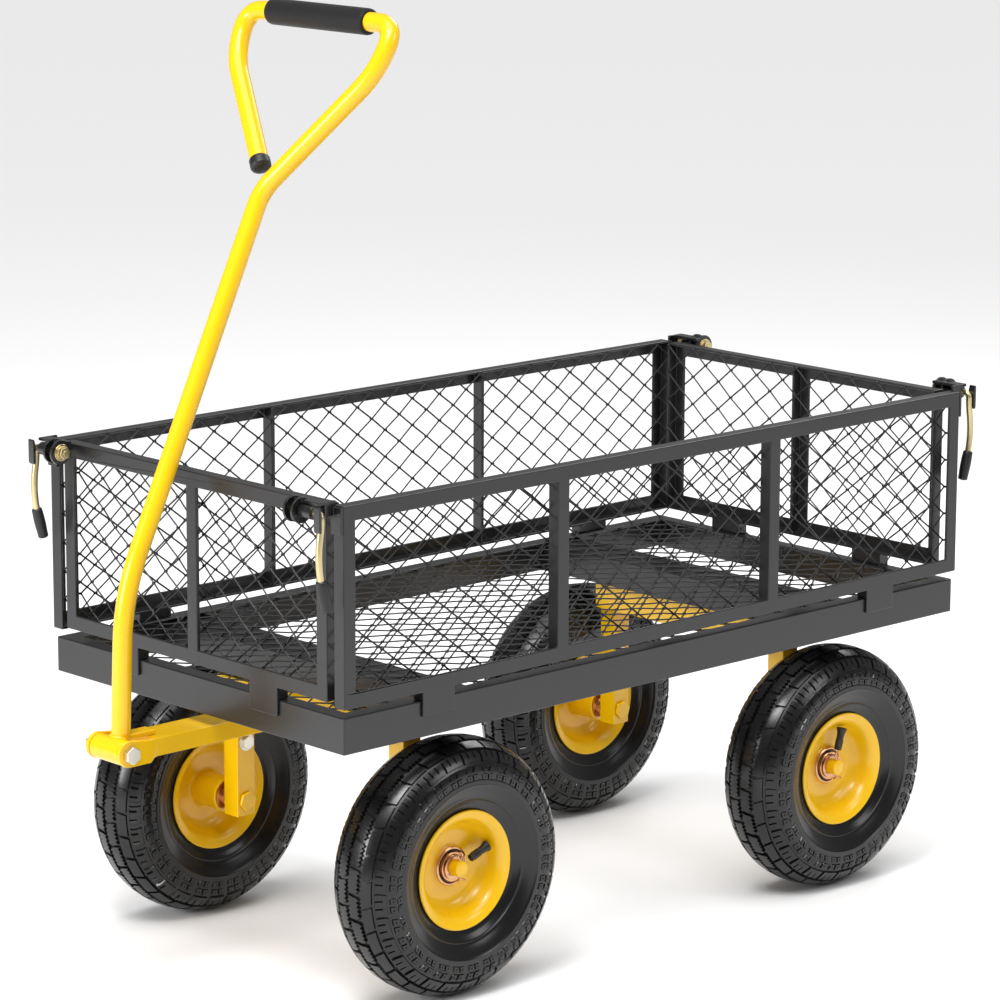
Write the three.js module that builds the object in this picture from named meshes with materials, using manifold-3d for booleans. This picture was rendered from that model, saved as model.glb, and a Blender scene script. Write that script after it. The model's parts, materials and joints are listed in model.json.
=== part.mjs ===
// Garden cart: a steel mesh deck with four lift-off mesh panels, a steered axle and a folding handle.
// Millimetres, +Z up, X across the cart, the handle towards -Y. The origin is on the ground, mid-outline.
import * as THREE from "three";
import { mergeVertices } from "three/addons/utils/BufferGeometryUtils.js";
import Module from "manifold-3d";

const wasm = await Module();
wasm.setup();

// ---------------------------------------------------------------- driving dimensions
// Between pieces that touch or are welded together, and between a shaft and its hole.
const GAP = 0.3;
const RUNNING = 0.4;

// Wheels
const TYRE_RADIUS = 129;
const TYRE_WIDTH = 80;
const TYRE_WALL = 7;
const FLANGE_RADIUS = 60;
const FLANGE_HEIGHT = 9;
const RIM_WIDTH = 56;
const RIM_SHEET = 2.5;
const TRACK = 375.5;
const WHEEL_SIDES = 24;
const HUB_RADIUS = 18;
const HUB_INBOARD = 42;
const HUB_OUTBOARD = 6;
const BEARING_RADIUS = 13;
const BEARING_FLANGE = 2;
const AXLE_RADIUS = 8;
const AXLE_END = 17;
const AXLE_HEAD = { proud: 2.5, thickness: 4 };
const SPACER_PROUD = 3.5;
const WASHER_RADIUS = 15;
const WASHER_THICKNESS = 2;
const COTTER_RADIUS = 1.5;
const COTTER_FROM_END = 3;
const VALVE_RADIUS = 4;
const VALVE_LENGTH = 23;
const VALVE_ANGLE = { front: 20, rear: 75 };

// Deck
const DECK_LENGTH = 864;
const DECK_WIDTH = 440;
const TYRE_TO_DECK = 16.5;
const SKIRT_HEIGHT = 36;
const DECK_SHEET = 2.5;
const DECK_LIP = 18;
const FLOOR_SHEET = 2;
const FRONT_OVERHANG = 159.5;
const REAR_OVERHANG = 163.3;
const CROSS_MEMBER_WIDTH = 50;
const CHANNEL_SHEET = 3;

// Axle frames and turntable
const BEAM_WIDTH = 40;
const BEAM_HEIGHT = 18;
const TURNTABLE_SPACE = 11;
const TURNTABLE_PLATE = 4.6;
const TURNTABLE_RADIUS = 55;
const KINGPIN_RADIUS = 8;
const LEG_ACROSS = 22;
const LEG_ALONG = 23;
const LEG_BELOW_AXLE = 16;
const LEG_TO_HUB = 7.7;
const LEG_BOLT_HEIGHT = 191.5;
const HEX_RADIUS = 6.5;
const HEX_HEIGHT = 4;

// Tongue and handle
const PIVOT_AHEAD = 102;
const PIVOT_BELOW_BEAM = 8;
const EAR_RADIUS = 13;
const EAR_SHEET = 4.5;
const EAR_LENGTH = 39;
const TONGUE_WIDTH = 40;
const SLEEVE_RADIUS = 12.3;
const SLEEVE_LENGTH = 43;
const PIVOT_BOLT_RADIUS = 5;
const PIVOT_HEAD = 6.5;
const TUBE_RADIUS = 9.5;
const HEEL_OFFSET = 9.5;
const LOWER_SHAFT = 148;
const LOWER_LEAN = 2.3;
const UPPER_SHAFT = 413;
const UPPER_LEAN = 25.2;
const SHAFT_BEND = 45;
const LOOP_HALF_WIDTH = 104;
const LOOP_SHOULDER = 130;
const LOOP_HEIGHT = 180;
const LOOP_BEND = 30;
const LOOP_END = { across: -18, up: 30 };
const GRIP_RADIUS = 13;
const GRIP_LENGTH = 144;
const CAP_LENGTH = 12;
const STOP_LUG = { width: 16, thickness: 5, overlap: 7 };

// Panels
const PANEL_TOP = 203.5;
const PANEL_SHEET = 2.5;
const PANEL_LEG = 15;
const PANEL_DEPTH = 14.5;
const LONG_PANEL_OVERHANG = 2;
const LONG_PANEL_LIFT = 8.7;
const END_PANEL_LIFT = 12.5;
const PANEL_PROUD = 3;
const CORNER_GAP = 9;
const MESH_SHEET = 2;
const TAB_WIDTH = 41;
const TAB_DROP = 15.5;
const LONG_TAB_SPACING = 628;
const END_TAB_SPACING = 212;
const LONG_PANEL_POSTS = [-0.345, 0.345];
const END_PANEL_POSTS = [0];

// Corner latches
const LATCH_STAND = 22;
const LATCH_BELOW_TOP = 5;
const LATCH_SHEET = 3;
const LATCH_EAR_RADIUS = 12.5;
const LATCH_EARS = [33, 44];
const LATCH_BOLT_RADIUS = 3;
const LATCH_NUT_RADIUS = 6;
const LATCH_CAP_HEIGHT = 26;
const LATCH_CAP_BELOW_TOP = 1;
const LATCH_PLATE_FROM = 9;
const LATCH_PLATE_CLEARANCE = 0.5;
const LATCH_ARM_DROP = 11;
const LATCH_ARM_CLEARANCE = 1;
const LEVER_ROD_RADIUS = 3;
const LEVER_INSET = 6;
const LEVER_HUB_RADIUS = 6.5;
const LEVER_LENGTH = 66;
const LEVER_SLANT = 8;
const LEVER_GRIP_RADIUS = 5.5;
const LEVER_GRIP_LENGTH = 27;
const LEVER_HUB = { from: 20, collar: 4 };
const LEVER_CAM = { width: 7, half: 3 };
const LEVER_TAIL = { half: 4, drop: 20 };
const LEVER_SHOE = { half: 3.5, drop: 17, rise: 6 };

// ---------------------------------------------------------------- dimensions that follow
const DECK_BOTTOM = 2 * TYRE_RADIUS + TYRE_TO_DECK;
const DECK_TOP = DECK_BOTTOM + SKIRT_HEIGHT;
const FLOOR_TOP = DECK_TOP - DECK_SHEET - GAP;
const SEAT_RADIUS = FLANGE_RADIUS - FLANGE_HEIGHT;
const FRONT_AXLE_Y = FRONT_OVERHANG - DECK_LENGTH / 2;
const REAR_AXLE_Y = DECK_LENGTH / 2 - REAR_OVERHANG;
const BEAM_TOP = DECK_BOTTOM - TURNTABLE_SPACE;
const BEAM_BOTTOM = BEAM_TOP - BEAM_HEIGHT;
const LEG_OUTER_X = TRACK / 2 - HUB_INBOARD - LEG_TO_HUB;
const LEG_INNER_X = LEG_OUTER_X - LEG_ACROSS;
const PIVOT_Y = -DECK_LENGTH / 2 - PIVOT_AHEAD;
const PIVOT_Z = BEAM_TOP - PIVOT_BELOW_BEAM;
const WEB_FRONT_Y = PIVOT_Y + EAR_LENGTH;
const EAR_INNER_X = SLEEVE_LENGTH / 2 + GAP;
const EAR_OUTER_X = EAR_INNER_X + EAR_SHEET;
const PANEL_TOP_Z = DECK_TOP + PANEL_TOP;
const LONG_FACE_X = DECK_WIDTH / 2 + PANEL_PROUD;
const LONG_END_Y = DECK_LENGTH / 2 + LONG_PANEL_OVERHANG;
const END_FACE_Y = DECK_LENGTH / 2 + PANEL_PROUD;
const END_HALF_WIDTH = LONG_FACE_X - PANEL_DEPTH - CORNER_GAP;
const LATCH_AXIS_Z = PANEL_TOP_Z - LATCH_BELOW_TOP;

// ---------------------------------------------------------------- solids
// A closed geometry as a manifold solid.
function solid(geometry) {
  const bare = geometry.index ? geometry.toNonIndexed() : geometry;
  bare.deleteAttribute("normal");
  bare.deleteAttribute("uv");
  const merged = mergeVertices(bare, 1e-4);
  return new wasm.Manifold(
    new wasm.Mesh({
      numProp: 3,
      vertProperties: merged.attributes.position.array,
      triVerts: new Uint32Array(merged.index.array),
    }),
  );
}

// A manifold solid as a flat-shaded geometry.
function geometryOf(made) {
  const mesh = made.getMesh();
  const geometry = new THREE.BufferGeometry();
  geometry.setAttribute("position", new THREE.BufferAttribute(mesh.vertProperties, 3));
  geometry.setIndex(new THREE.BufferAttribute(mesh.triVerts, 1));
  const flat = geometry.toNonIndexed();
  flat.computeVertexNormals();
  return flat;
}

const join = (...parts) => parts.reduce((whole, part) => whole.add(part));
const cut = (body, ...tools) => tools.reduce((left, tool) => left.subtract(tool), body);

// A box from two opposite corners.
function block(x0, x1, y0, y1, z0, z1) {
  const geometry = new THREE.BoxGeometry(Math.abs(x1 - x0), Math.abs(y1 - y0), Math.abs(z1 - z0));
  geometry.translate((x0 + x1) / 2, (y0 + y1) / 2, (z0 + z1) / 2);
  return solid(geometry);
}

// A round or many-sided bar between two places along X, Y or Z.
function bar(axis, radius, from, to, centre, sides = 20) {
  const geometry = new THREE.CylinderGeometry(radius, radius, Math.abs(to - from), sides);
  const middle = (from + to) / 2;
  if (axis === "x") {
    geometry.rotateZ(-Math.PI / 2).translate(middle, centre[0], centre[1]);
  } else if (axis === "y") {
    geometry.translate(centre[0], middle, centre[1]);
  } else {
    geometry.rotateX(Math.PI / 2).translate(centre[0], centre[1], middle);
  }
  return solid(geometry);
}

// A solid of revolution about X from a closed outline of [radius, x] corners.
function turned(outline, sides) {
  const area = outline.reduce((sum, [r, a], i) => {
    const [nextR, nextA] = outline[(i + 1) % outline.length];
    return sum + r * nextA - nextR * a;
  }, 0);
  const ordered = area > 0 ? outline : [...outline].reverse();
  const points = [...ordered, ordered[0]].map(([r, a]) => new THREE.Vector2(r, a));
  const geometry = new THREE.LatheGeometry(points, sides);
  geometry.rotateZ(-Math.PI / 2);
  return solid(geometry);
}

// A flat outline of [y, z] corners pushed from x0 to x1.
function plateYZ(corners, x0, x1) {
  const shape = new THREE.Shape(corners.map(([y, z]) => new THREE.Vector2(y, z)));
  const geometry = new THREE.ExtrudeGeometry(shape, { depth: x1 - x0, bevelEnabled: false });
  geometry.rotateX(Math.PI / 2).rotateZ(Math.PI / 2).translate(x0, 0, 0);
  return solid(geometry);
}

// A flat outline of [x, y] corners pushed from z0 to z1.
function plateXY(corners, z0, z1) {
  const shape = new THREE.Shape(corners.map(([x, y]) => new THREE.Vector2(x, y)));
  const geometry = new THREE.ExtrudeGeometry(shape, { depth: z1 - z0, bevelEnabled: false });
  geometry.translate(0, 0, z0);
  return solid(geometry);
}

// A route through given points, one sample at each.
class Route extends THREE.Curve {
  constructor(points) {
    super();
    this.points = points;
  }
  getPoint(t, target = new THREE.Vector3()) {
    const place = Math.min(Math.max(t, 0), 1) * (this.points.length - 1);
    const index = Math.min(Math.floor(place), this.points.length - 2);
    return target.lerpVectors(this.points[index], this.points[index + 1], place - index);
  }
  getUtoTmapping(u) {
    return u;
  }
}

// The corners of a bent rod with each inner corner rounded over the given cut-back.
function rounded(corners, cutBacks, steps = 5) {
  const points = [corners[0].clone()];
  for (let i = 1; i < corners.length - 1; i++) {
    const into = corners[i].clone().sub(corners[i - 1]).normalize().multiplyScalar(-cutBacks[i - 1]);
    const away = corners[i + 1].clone().sub(corners[i]).normalize().multiplyScalar(cutBacks[i - 1]);
    const start = corners[i].clone().add(into);
    const end = corners[i].clone().add(away);
    points.push(...new THREE.QuadraticBezierCurve3(start, corners[i], end).getPoints(steps));
  }
  points.push(corners[corners.length - 1].clone());
  return points;
}

// A round rod along a list of points.
function rod(points, radius, sides = 12) {
  const section = new THREE.Shape().absarc(0, 0, radius, 0, 2 * Math.PI);
  const settings = {
    steps: points.length - 1,
    curveSegments: sides / 2,
    extrudePath: new Route(points),
    bevelEnabled: false,
  };
  return solid(new THREE.ExtrudeGeometry(section, settings));
}

// ---------------------------------------------------------------- finishes
const finish = (color, roughness, metalness) => ({ color, roughness, metalness });
const YELLOW_PAINT = finish(0xffc40f, 0.3, 0.1);
const GREY_PAINT = finish(0x4b4b4d, 0.5, 0.2);
const BLACK_PAINT = finish(0x1c1c1e, 0.45, 0.2);
const ZINC = finish(0xc9b070, 0.35, 0.9);
const STEEL = finish(0xa9a6a0, 0.35, 0.9);
const TYRE_RUBBER = finish(0x262626, 0.8, 0);
const GRIP_FOAM = finish(0x3c3a3b, 0.95, 0);
const BLACK_PLASTIC = finish(0x202022, 0.6, 0);

const cart = new THREE.Group();

// Adds a named piece, and returns its mesh.
function piece(name, made, look, parent = cart) {
  const mesh = new THREE.Mesh(geometryOf(made), new THREE.MeshStandardMaterial(look));
  mesh.name = name;
  parent.add(mesh);
  return mesh;
}

// ---------------------------------------------------------------- deck
// The folded rim of the deck: a skirt with an inward lip along its top edge.
function deckRim() {
  const halfX = DECK_WIDTH / 2;
  const halfY = DECK_LENGTH / 2;
  const outer = block(-halfX, halfX, -halfY, halfY, DECK_BOTTOM, DECK_TOP);
  const inside = block(
    DECK_SHEET - halfX, halfX - DECK_SHEET,
    DECK_SHEET - halfY, halfY - DECK_SHEET,
    DECK_BOTTOM - 1, DECK_TOP - DECK_SHEET,
  );
  const window = block(
    DECK_LIP - halfX, halfX - DECK_LIP,
    DECK_LIP - halfY, halfY - DECK_LIP,
    DECK_BOTTOM, DECK_TOP + 1,
  );
  return cut(outer, inside, window);
}

// The mesh floor under the rim's lip, as one plain sheet.
function deckFloor() {
  const halfX = DECK_WIDTH / 2 - DECK_SHEET - GAP;
  const halfY = DECK_LENGTH / 2 - DECK_SHEET - GAP;
  return block(-halfX, halfX, -halfY, halfY, FLOOR_TOP - FLOOR_SHEET, FLOOR_TOP);
}

// A channel across the deck under the floor, open downwards.
function crossMember(y) {
  const halfX = DECK_WIDTH / 2 - DECK_SHEET - GAP;
  const halfY = CROSS_MEMBER_WIDTH / 2;
  const top = FLOOR_TOP - FLOOR_SHEET - GAP;
  const outer = block(-halfX, halfX, y - halfY, y + halfY, DECK_BOTTOM, top);
  const hollow = block(
    -halfX - 1, halfX + 1,
    y - halfY + CHANNEL_SHEET, y + halfY - CHANNEL_SHEET,
    DECK_BOTTOM - 1, top - CHANNEL_SHEET,
  );
  return cut(outer, hollow);
}

piece("deck_rim", deckRim(), GREY_PAINT);
piece("deck_floor", deckFloor(), GREY_PAINT);
piece("cross_member_front", crossMember(FRONT_AXLE_Y), GREY_PAINT);
piece("cross_member_rear", crossMember(REAR_AXLE_Y), GREY_PAINT);

// ---------------------------------------------------------------- turntable
const PLATE_TOP = DECK_BOTTOM - GAP;
const PLATE_BOTTOM = PLATE_TOP - TURNTABLE_PLATE;
const KINGPIN_NUT_HEIGHT = 11;
const KINGPIN_HEAD_HEIGHT = 9;
const KINGPIN_HEX = 1.6 * KINGPIN_RADIUS;
const pinCentre = [0, FRONT_AXLE_Y];
const webBottom = BEAM_TOP - CHANNEL_SHEET;
const pinTop = DECK_BOTTOM + KINGPIN_NUT_HEIGHT + 4;
piece(
  "turntable_plate",
  cut(
    bar("z", TURNTABLE_RADIUS, PLATE_BOTTOM, PLATE_TOP, pinCentre, 32),
    bar("z", KINGPIN_RADIUS + GAP, PLATE_BOTTOM - 1, PLATE_TOP + 1, pinCentre),
  ),
  YELLOW_PAINT,
);
piece(
  "kingpin",
  join(
    bar("z", KINGPIN_RADIUS, webBottom - GAP - 1, pinTop, pinCentre),
    bar("z", KINGPIN_HEX, webBottom - GAP - KINGPIN_HEAD_HEIGHT, webBottom - GAP, pinCentre, 6),
  ),
  STEEL,
);
piece(
  "kingpin_nut",
  cut(
    bar("z", KINGPIN_HEX, DECK_BOTTOM, DECK_BOTTOM + KINGPIN_NUT_HEIGHT, pinCentre, 6),
    bar("z", KINGPIN_RADIUS + GAP, DECK_BOTTOM - 1, pinTop + 1, pinCentre),
  ),
  STEEL,
);

// ---------------------------------------------------------------- axle frames
// An inverted channel across the cart with a square leg at each end that holds one wheel's axle.
function axleFrame(y, top) {
  const halfY = BEAM_WIDTH / 2;
  const outer = block(-LEG_OUTER_X, LEG_OUTER_X, y - halfY, y + halfY, BEAM_BOTTOM, top);
  const hollow = block(
    -LEG_OUTER_X - 1, LEG_OUTER_X + 1,
    y - halfY + CHANNEL_SHEET, y + halfY - CHANNEL_SHEET,
    BEAM_BOTTOM - 1, top - CHANNEL_SHEET,
  );
  let frame = cut(outer, hollow);
  for (const side of [-1, 1]) {
    const legBottom = TYRE_RADIUS - LEG_BELOW_AXLE;
    const from = side * LEG_INNER_X;
    const to = side * LEG_OUTER_X;
    const wall = side * CHANNEL_SHEET;
    const leg = block(from, to, y - LEG_ALONG / 2, y + LEG_ALONG / 2, legBottom, top - 1);
    const bore = block(
      from + wall, to - wall,
      y - LEG_ALONG / 2 + CHANNEL_SHEET, y + LEG_ALONG / 2 - CHANNEL_SHEET,
      legBottom - 1, BEAM_BOTTOM,
    );
    const axleHole = bar("x", AXLE_RADIUS + GAP, from - side, to + side, [y, TYRE_RADIUS]);
    const boltHead = bar("x", HEX_RADIUS, from - side * HEX_HEIGHT, from + side, [y, LEG_BOLT_HEIGHT], 6);
    frame = join(frame, cut(leg, bore, axleHole), boltHead);
  }
  return frame;
}

const FRAME_TABLE_TOP = PLATE_BOTTOM - RUNNING;
piece(
  "axle_frame_front",
  cut(
    join(
      axleFrame(FRONT_AXLE_Y, BEAM_TOP),
      bar("z", BEAM_WIDTH / 2 - 1, BEAM_TOP - 1, FRAME_TABLE_TOP - 1, pinCentre, 24),
      bar("z", TURNTABLE_RADIUS, BEAM_TOP + GAP, FRAME_TABLE_TOP, pinCentre, 32),
    ),
    bar("z", KINGPIN_RADIUS + RUNNING, BEAM_BOTTOM, FRAME_TABLE_TOP + 1, pinCentre),
  ),
  YELLOW_PAINT,
);
piece("axle_frame_rear", axleFrame(REAR_AXLE_Y, DECK_BOTTOM - GAP), YELLOW_PAINT);

// ---------------------------------------------------------------- wheels
// Outlines are [radius, distance outboard of the wheel's middle].
const mirroredOutline = (half) => [...half, ...half.map(([r, a]) => [r, -a]).reverse()];

function tyre() {
  const half = TYRE_WIDTH / 2;
  const bead = RIM_WIDTH / 2;
  const seat = SEAT_RADIUS + GAP;
  const crown = TYRE_RADIUS - TYRE_WALL - 1;
  const outside = mirroredOutline([
    [seat, bead - 14],
    [seat, bead - 7.5],
    [FLANGE_RADIUS + 1, bead - 2.5 - GAP],
    [FLANGE_RADIUS + 20, half - 1.5],
    [TYRE_RADIUS - 24, half],
    [TYRE_RADIUS - 7, half - 9],
    [TYRE_RADIUS, half - 26],
  ]);
  const inside = mirroredOutline([
    [crown, half - 28],
    [TYRE_RADIUS - 28, half - TYRE_WALL],
    [seat + 5, bead - 14],
  ].reverse());
  return turned([...outside, ...[...inside].reverse()], WHEEL_SIDES);
}

function rim() {
  const edge = RIM_WIDTH / 2;
  const seat = SEAT_RADIUS;
  const dish = [
    [HUB_RADIUS + 8, 3],
    [seat - 7, edge - 16],
    [seat - RIM_SHEET - 0.5, edge - 7],
    [FLANGE_RADIUS, edge],
    [FLANGE_RADIUS, edge - RIM_SHEET],
    [seat, edge - 7.5],
    [seat - 4.5, edge - 20],
  ];
  const bore = BEARING_RADIUS + GAP;
  return turned(
    [
      [bore, HUB_OUTBOARD],
      [HUB_RADIUS, HUB_OUTBOARD],
      ...mirroredOutline(dish),
      [HUB_RADIUS, -6],
      [HUB_RADIUS, -HUB_INBOARD],
      [bore, -HUB_INBOARD],
    ],
    WHEEL_SIDES,
  );
}

// The two flanged bushes of a hub and the tube between them.
function bearing() {
  const outboard = HUB_OUTBOARD + GAP;
  const inboard = -HUB_INBOARD - GAP;
  const bore = AXLE_RADIUS + RUNNING;
  return turned(
    [
      [bore, inboard - BEARING_FLANGE],
      [HUB_RADIUS - 1.5, inboard - BEARING_FLANGE],
      [HUB_RADIUS - 1.5, inboard],
      [BEARING_RADIUS, inboard],
      [BEARING_RADIUS, outboard],
      [HUB_RADIUS - 1, outboard],
      [HUB_RADIUS - 1, outboard + BEARING_FLANGE],
      [bore, outboard + BEARING_FLANGE],
    ],
    16,
  );
}

// A short valve stem that points from the dish towards the hub.
function valve(angle) {
  const root = SEAT_RADIUS - RIM_SHEET - 2 * VALVE_RADIUS + 1;
  const stem = bar("z", VALVE_RADIUS, root - VALVE_LENGTH, root, [RIM_WIDTH / 2 - 12, 0], 10);
  const collar = bar("z", VALVE_RADIUS + 1, root - 6, root - 1, [RIM_WIDTH / 2 - 12, 0], 10);
  return join(stem, collar).rotate([angle - 90, 0, 0]);
}

// The axle of one wheel: head inside the leg, spacer, washer and cotter pin.
function axle() {
  const legOuter = -HUB_INBOARD - LEG_TO_HUB;
  const legInner = legOuter - LEG_ACROSS;
  const headTo = legInner - GAP;
  const bushInner = -HUB_INBOARD - GAP - BEARING_FLANGE;
  const bushOuter = HUB_OUTBOARD + GAP + BEARING_FLANGE;
  const end = HUB_OUTBOARD + AXLE_END;
  return join(
    bar("x", AXLE_RADIUS, legInner - 3, end, [0, 0], 16),
    bar("x", AXLE_RADIUS + AXLE_HEAD.proud, headTo - AXLE_HEAD.thickness, headTo, [0, 0], 16),
    bar("x", AXLE_RADIUS + SPACER_PROUD, legOuter + GAP, bushInner - GAP, [0, 0], 16),
    bar("x", WASHER_RADIUS, bushOuter + GAP, bushOuter + GAP + WASHER_THICKNESS, [0, 0], 16),
    bar("z", COTTER_RADIUS, -WASHER_RADIUS, WASHER_RADIUS, [end - COTTER_FROM_END, 0], 6),
  );
}

const corners = [
  { name: "front_left", side: -1, y: FRONT_AXLE_Y, valveAngle: VALVE_ANGLE.front },
  { name: "front_right", side: 1, y: FRONT_AXLE_Y, valveAngle: VALVE_ANGLE.front },
  { name: "rear_left", side: -1, y: REAR_AXLE_Y, valveAngle: VALVE_ANGLE.rear },
  { name: "rear_right", side: 1, y: REAR_AXLE_Y, valveAngle: VALVE_ANGLE.rear },
];
for (const { name, side, y, valveAngle } of corners) {
  const wheel = new THREE.Group();
  wheel.position.set((side * TRACK) / 2, y, TYRE_RADIUS);
  cart.add(wheel);
  const facing = (made) => (side > 0 ? made : made.mirror([1, 0, 0]));
  piece("tyre_" + name, facing(tyre()), TYRE_RUBBER, wheel);
  piece("rim_" + name, facing(rim()), YELLOW_PAINT, wheel);
  piece("hub_bearing_" + name, facing(bearing()), STEEL, wheel);
  piece("valve_" + name, facing(valve(valveAngle)), BLACK_PLASTIC, wheel);
  piece("axle_" + name, facing(axle()), YELLOW_PAINT, wheel);
}

// ---------------------------------------------------------------- tongue
// A shallow inverted channel whose two sides spread into the deeper ears of the handle's clevis.
function tongue() {
  const rear = FRONT_AXLE_Y - BEAM_WIDTH / 2 - GAP;
  const half = TONGUE_WIDTH / 2;
  const nose = PIVOT_Y - EAR_RADIUS;
  const step = WEB_FRONT_Y - 6;
  const profile = [
    [rear, BEAM_BOTTOM],
    [rear, BEAM_TOP],
    [WEB_FRONT_Y, BEAM_TOP],
    [PIVOT_Y, PIVOT_Z + EAR_RADIUS],
  ];
  for (let turn = 100; turn <= 270; turn += 17) {
    const angle = THREE.MathUtils.degToRad(turn);
    profile.push([PIVOT_Y + EAR_RADIUS * Math.cos(angle), PIVOT_Z + EAR_RADIUS * Math.sin(angle)]);
  }
  profile.push([step - 6, PIVOT_Z - EAR_RADIUS], [step, BEAM_BOTTOM]);
  const side = plateYZ(profile, -EAR_OUTER_X, EAR_OUTER_X);
  let frame = block(-half, half, WEB_FRONT_Y, rear, BEAM_TOP - CHANNEL_SHEET, BEAM_TOP);
  for (const hand of [-1, 1]) {
    const flare = [
      [hand * half, rear],
      [hand * half, WEB_FRONT_Y],
      [hand * EAR_OUTER_X, WEB_FRONT_Y - 14],
      [hand * EAR_OUTER_X, nose - 1],
      [hand * EAR_INNER_X, nose - 1],
      [hand * EAR_INNER_X, WEB_FRONT_Y - 14],
      [hand * (half - EAR_SHEET), WEB_FRONT_Y + 1],
      [hand * (half - EAR_SHEET), rear],
    ];
    const cheek = plateXY(flare, PIVOT_Z - 2 * EAR_RADIUS, PIVOT_Z + 2 * EAR_RADIUS);
    frame = join(frame, cheek.intersect(side));
  }
  const hole = bar("x", PIVOT_BOLT_RADIUS + GAP, -EAR_OUTER_X - 1, EAR_OUTER_X + 1, [PIVOT_Y, PIVOT_Z]);
  return cut(frame, hole);
}

piece("tongue", tongue(), YELLOW_PAINT);

const boltCentre = [PIVOT_Y, PIVOT_Z];
const headAt = EAR_OUTER_X + GAP;
piece(
  "pivot_bolt",
  join(
    bar("x", PIVOT_BOLT_RADIUS, -headAt - PIVOT_HEAD - 1.5, headAt + 1, boltCentre),
    bar("x", 1.8 * PIVOT_BOLT_RADIUS, headAt, headAt + PIVOT_HEAD, boltCentre, 6),
  ),
  ZINC,
);
piece(
  "pivot_nut",
  cut(
    bar("x", 1.8 * PIVOT_BOLT_RADIUS, -headAt - PIVOT_HEAD, -headAt, boltCentre, 6),
    bar("x", PIVOT_BOLT_RADIUS + GAP, -headAt - PIVOT_HEAD - 1, -headAt + 1, boltCentre),
  ),
  ZINC,
);

// ---------------------------------------------------------------- handle
const lower = THREE.MathUtils.degToRad(LOWER_LEAN);
const upper = THREE.MathUtils.degToRad(UPPER_LEAN);
const heel = new THREE.Vector3(0, PIVOT_Y + HEEL_OFFSET, PIVOT_Z);
const shaftUp = new THREE.Vector3(0, Math.sin(lower), Math.cos(lower));
const bend = heel.clone().addScaledVector(shaftUp, LOWER_SHAFT);
const loopUp = new THREE.Vector3(0, Math.sin(upper), Math.cos(upper));
const loopFoot = bend.clone().addScaledVector(loopUp, UPPER_SHAFT);
const inLoop = (across, up) => loopFoot.clone().addScaledVector(loopUp, up).setX(across);
const loopEnd = inLoop(LOOP_END.across, LOOP_END.up);

// One bent tube from the clevis up the shaft and round the hand loop, welded to the cross sleeve.
function handleTube() {
  const route = [
    heel.clone().add(new THREE.Vector3(0, 0, SLEEVE_RADIUS / 2)),
    bend,
    loopFoot,
    inLoop(LOOP_HALF_WIDTH, LOOP_SHOULDER),
    inLoop(LOOP_HALF_WIDTH + 6, LOOP_HEIGHT),
    inLoop(-LOOP_HALF_WIDTH - 6, LOOP_HEIGHT),
    inLoop(-LOOP_HALF_WIDTH, LOOP_SHOULDER),
    loopEnd,
  ];
  const cutBacks = [SHAFT_BEND, 18, LOOP_BEND - 6, LOOP_BEND - 4, LOOP_BEND - 4, LOOP_BEND - 6];
  const tube = rod(rounded(route, cutBacks, 4), TUBE_RADIUS);
  const sleeve = bar("x", SLEEVE_RADIUS, -SLEEVE_LENGTH / 2, SLEEVE_LENGTH / 2, boltCentre, 24);
  const lug = block(
    -STOP_LUG.width / 2, STOP_LUG.width / 2,
    heel.y, WEB_FRONT_Y + STOP_LUG.overlap,
    BEAM_TOP + GAP, BEAM_TOP + GAP + STOP_LUG.thickness,
  );
  const bore = bar("x", PIVOT_BOLT_RADIUS + RUNNING, -SLEEVE_LENGTH, SLEEVE_LENGTH, boltCentre);
  return cut(join(tube, sleeve, lug), bore);
}

// The foam sleeve around the straight top of the loop.
function handleGrip() {
  const centre = inLoop(0, LOOP_HEIGHT);
  const place = [centre.y, centre.z];
  const half = GRIP_LENGTH / 2;
  return cut(
    bar("x", GRIP_RADIUS, -half, half, place, 24),
    bar("x", TUBE_RADIUS + GAP, -half - 1, half + 1, place, 24),
  );
}

// The plug over the open end of the tube.
function handleCap() {
  const away = loopEnd.clone().sub(inLoop(-LOOP_HALF_WIDTH, LOOP_SHOULDER)).normalize();
  const start = loopEnd.clone().addScaledVector(away, GAP);
  const end = start.clone().addScaledVector(away, CAP_LENGTH);
  return rod([start, end], TUBE_RADIUS + 1);
}

piece("handle_tube", handleTube(), YELLOW_PAINT);
piece("handle_grip", handleGrip(), GRIP_FOAM);
piece("handle_end_cap", handleCap(), BLACK_PLASTIC);

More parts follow.
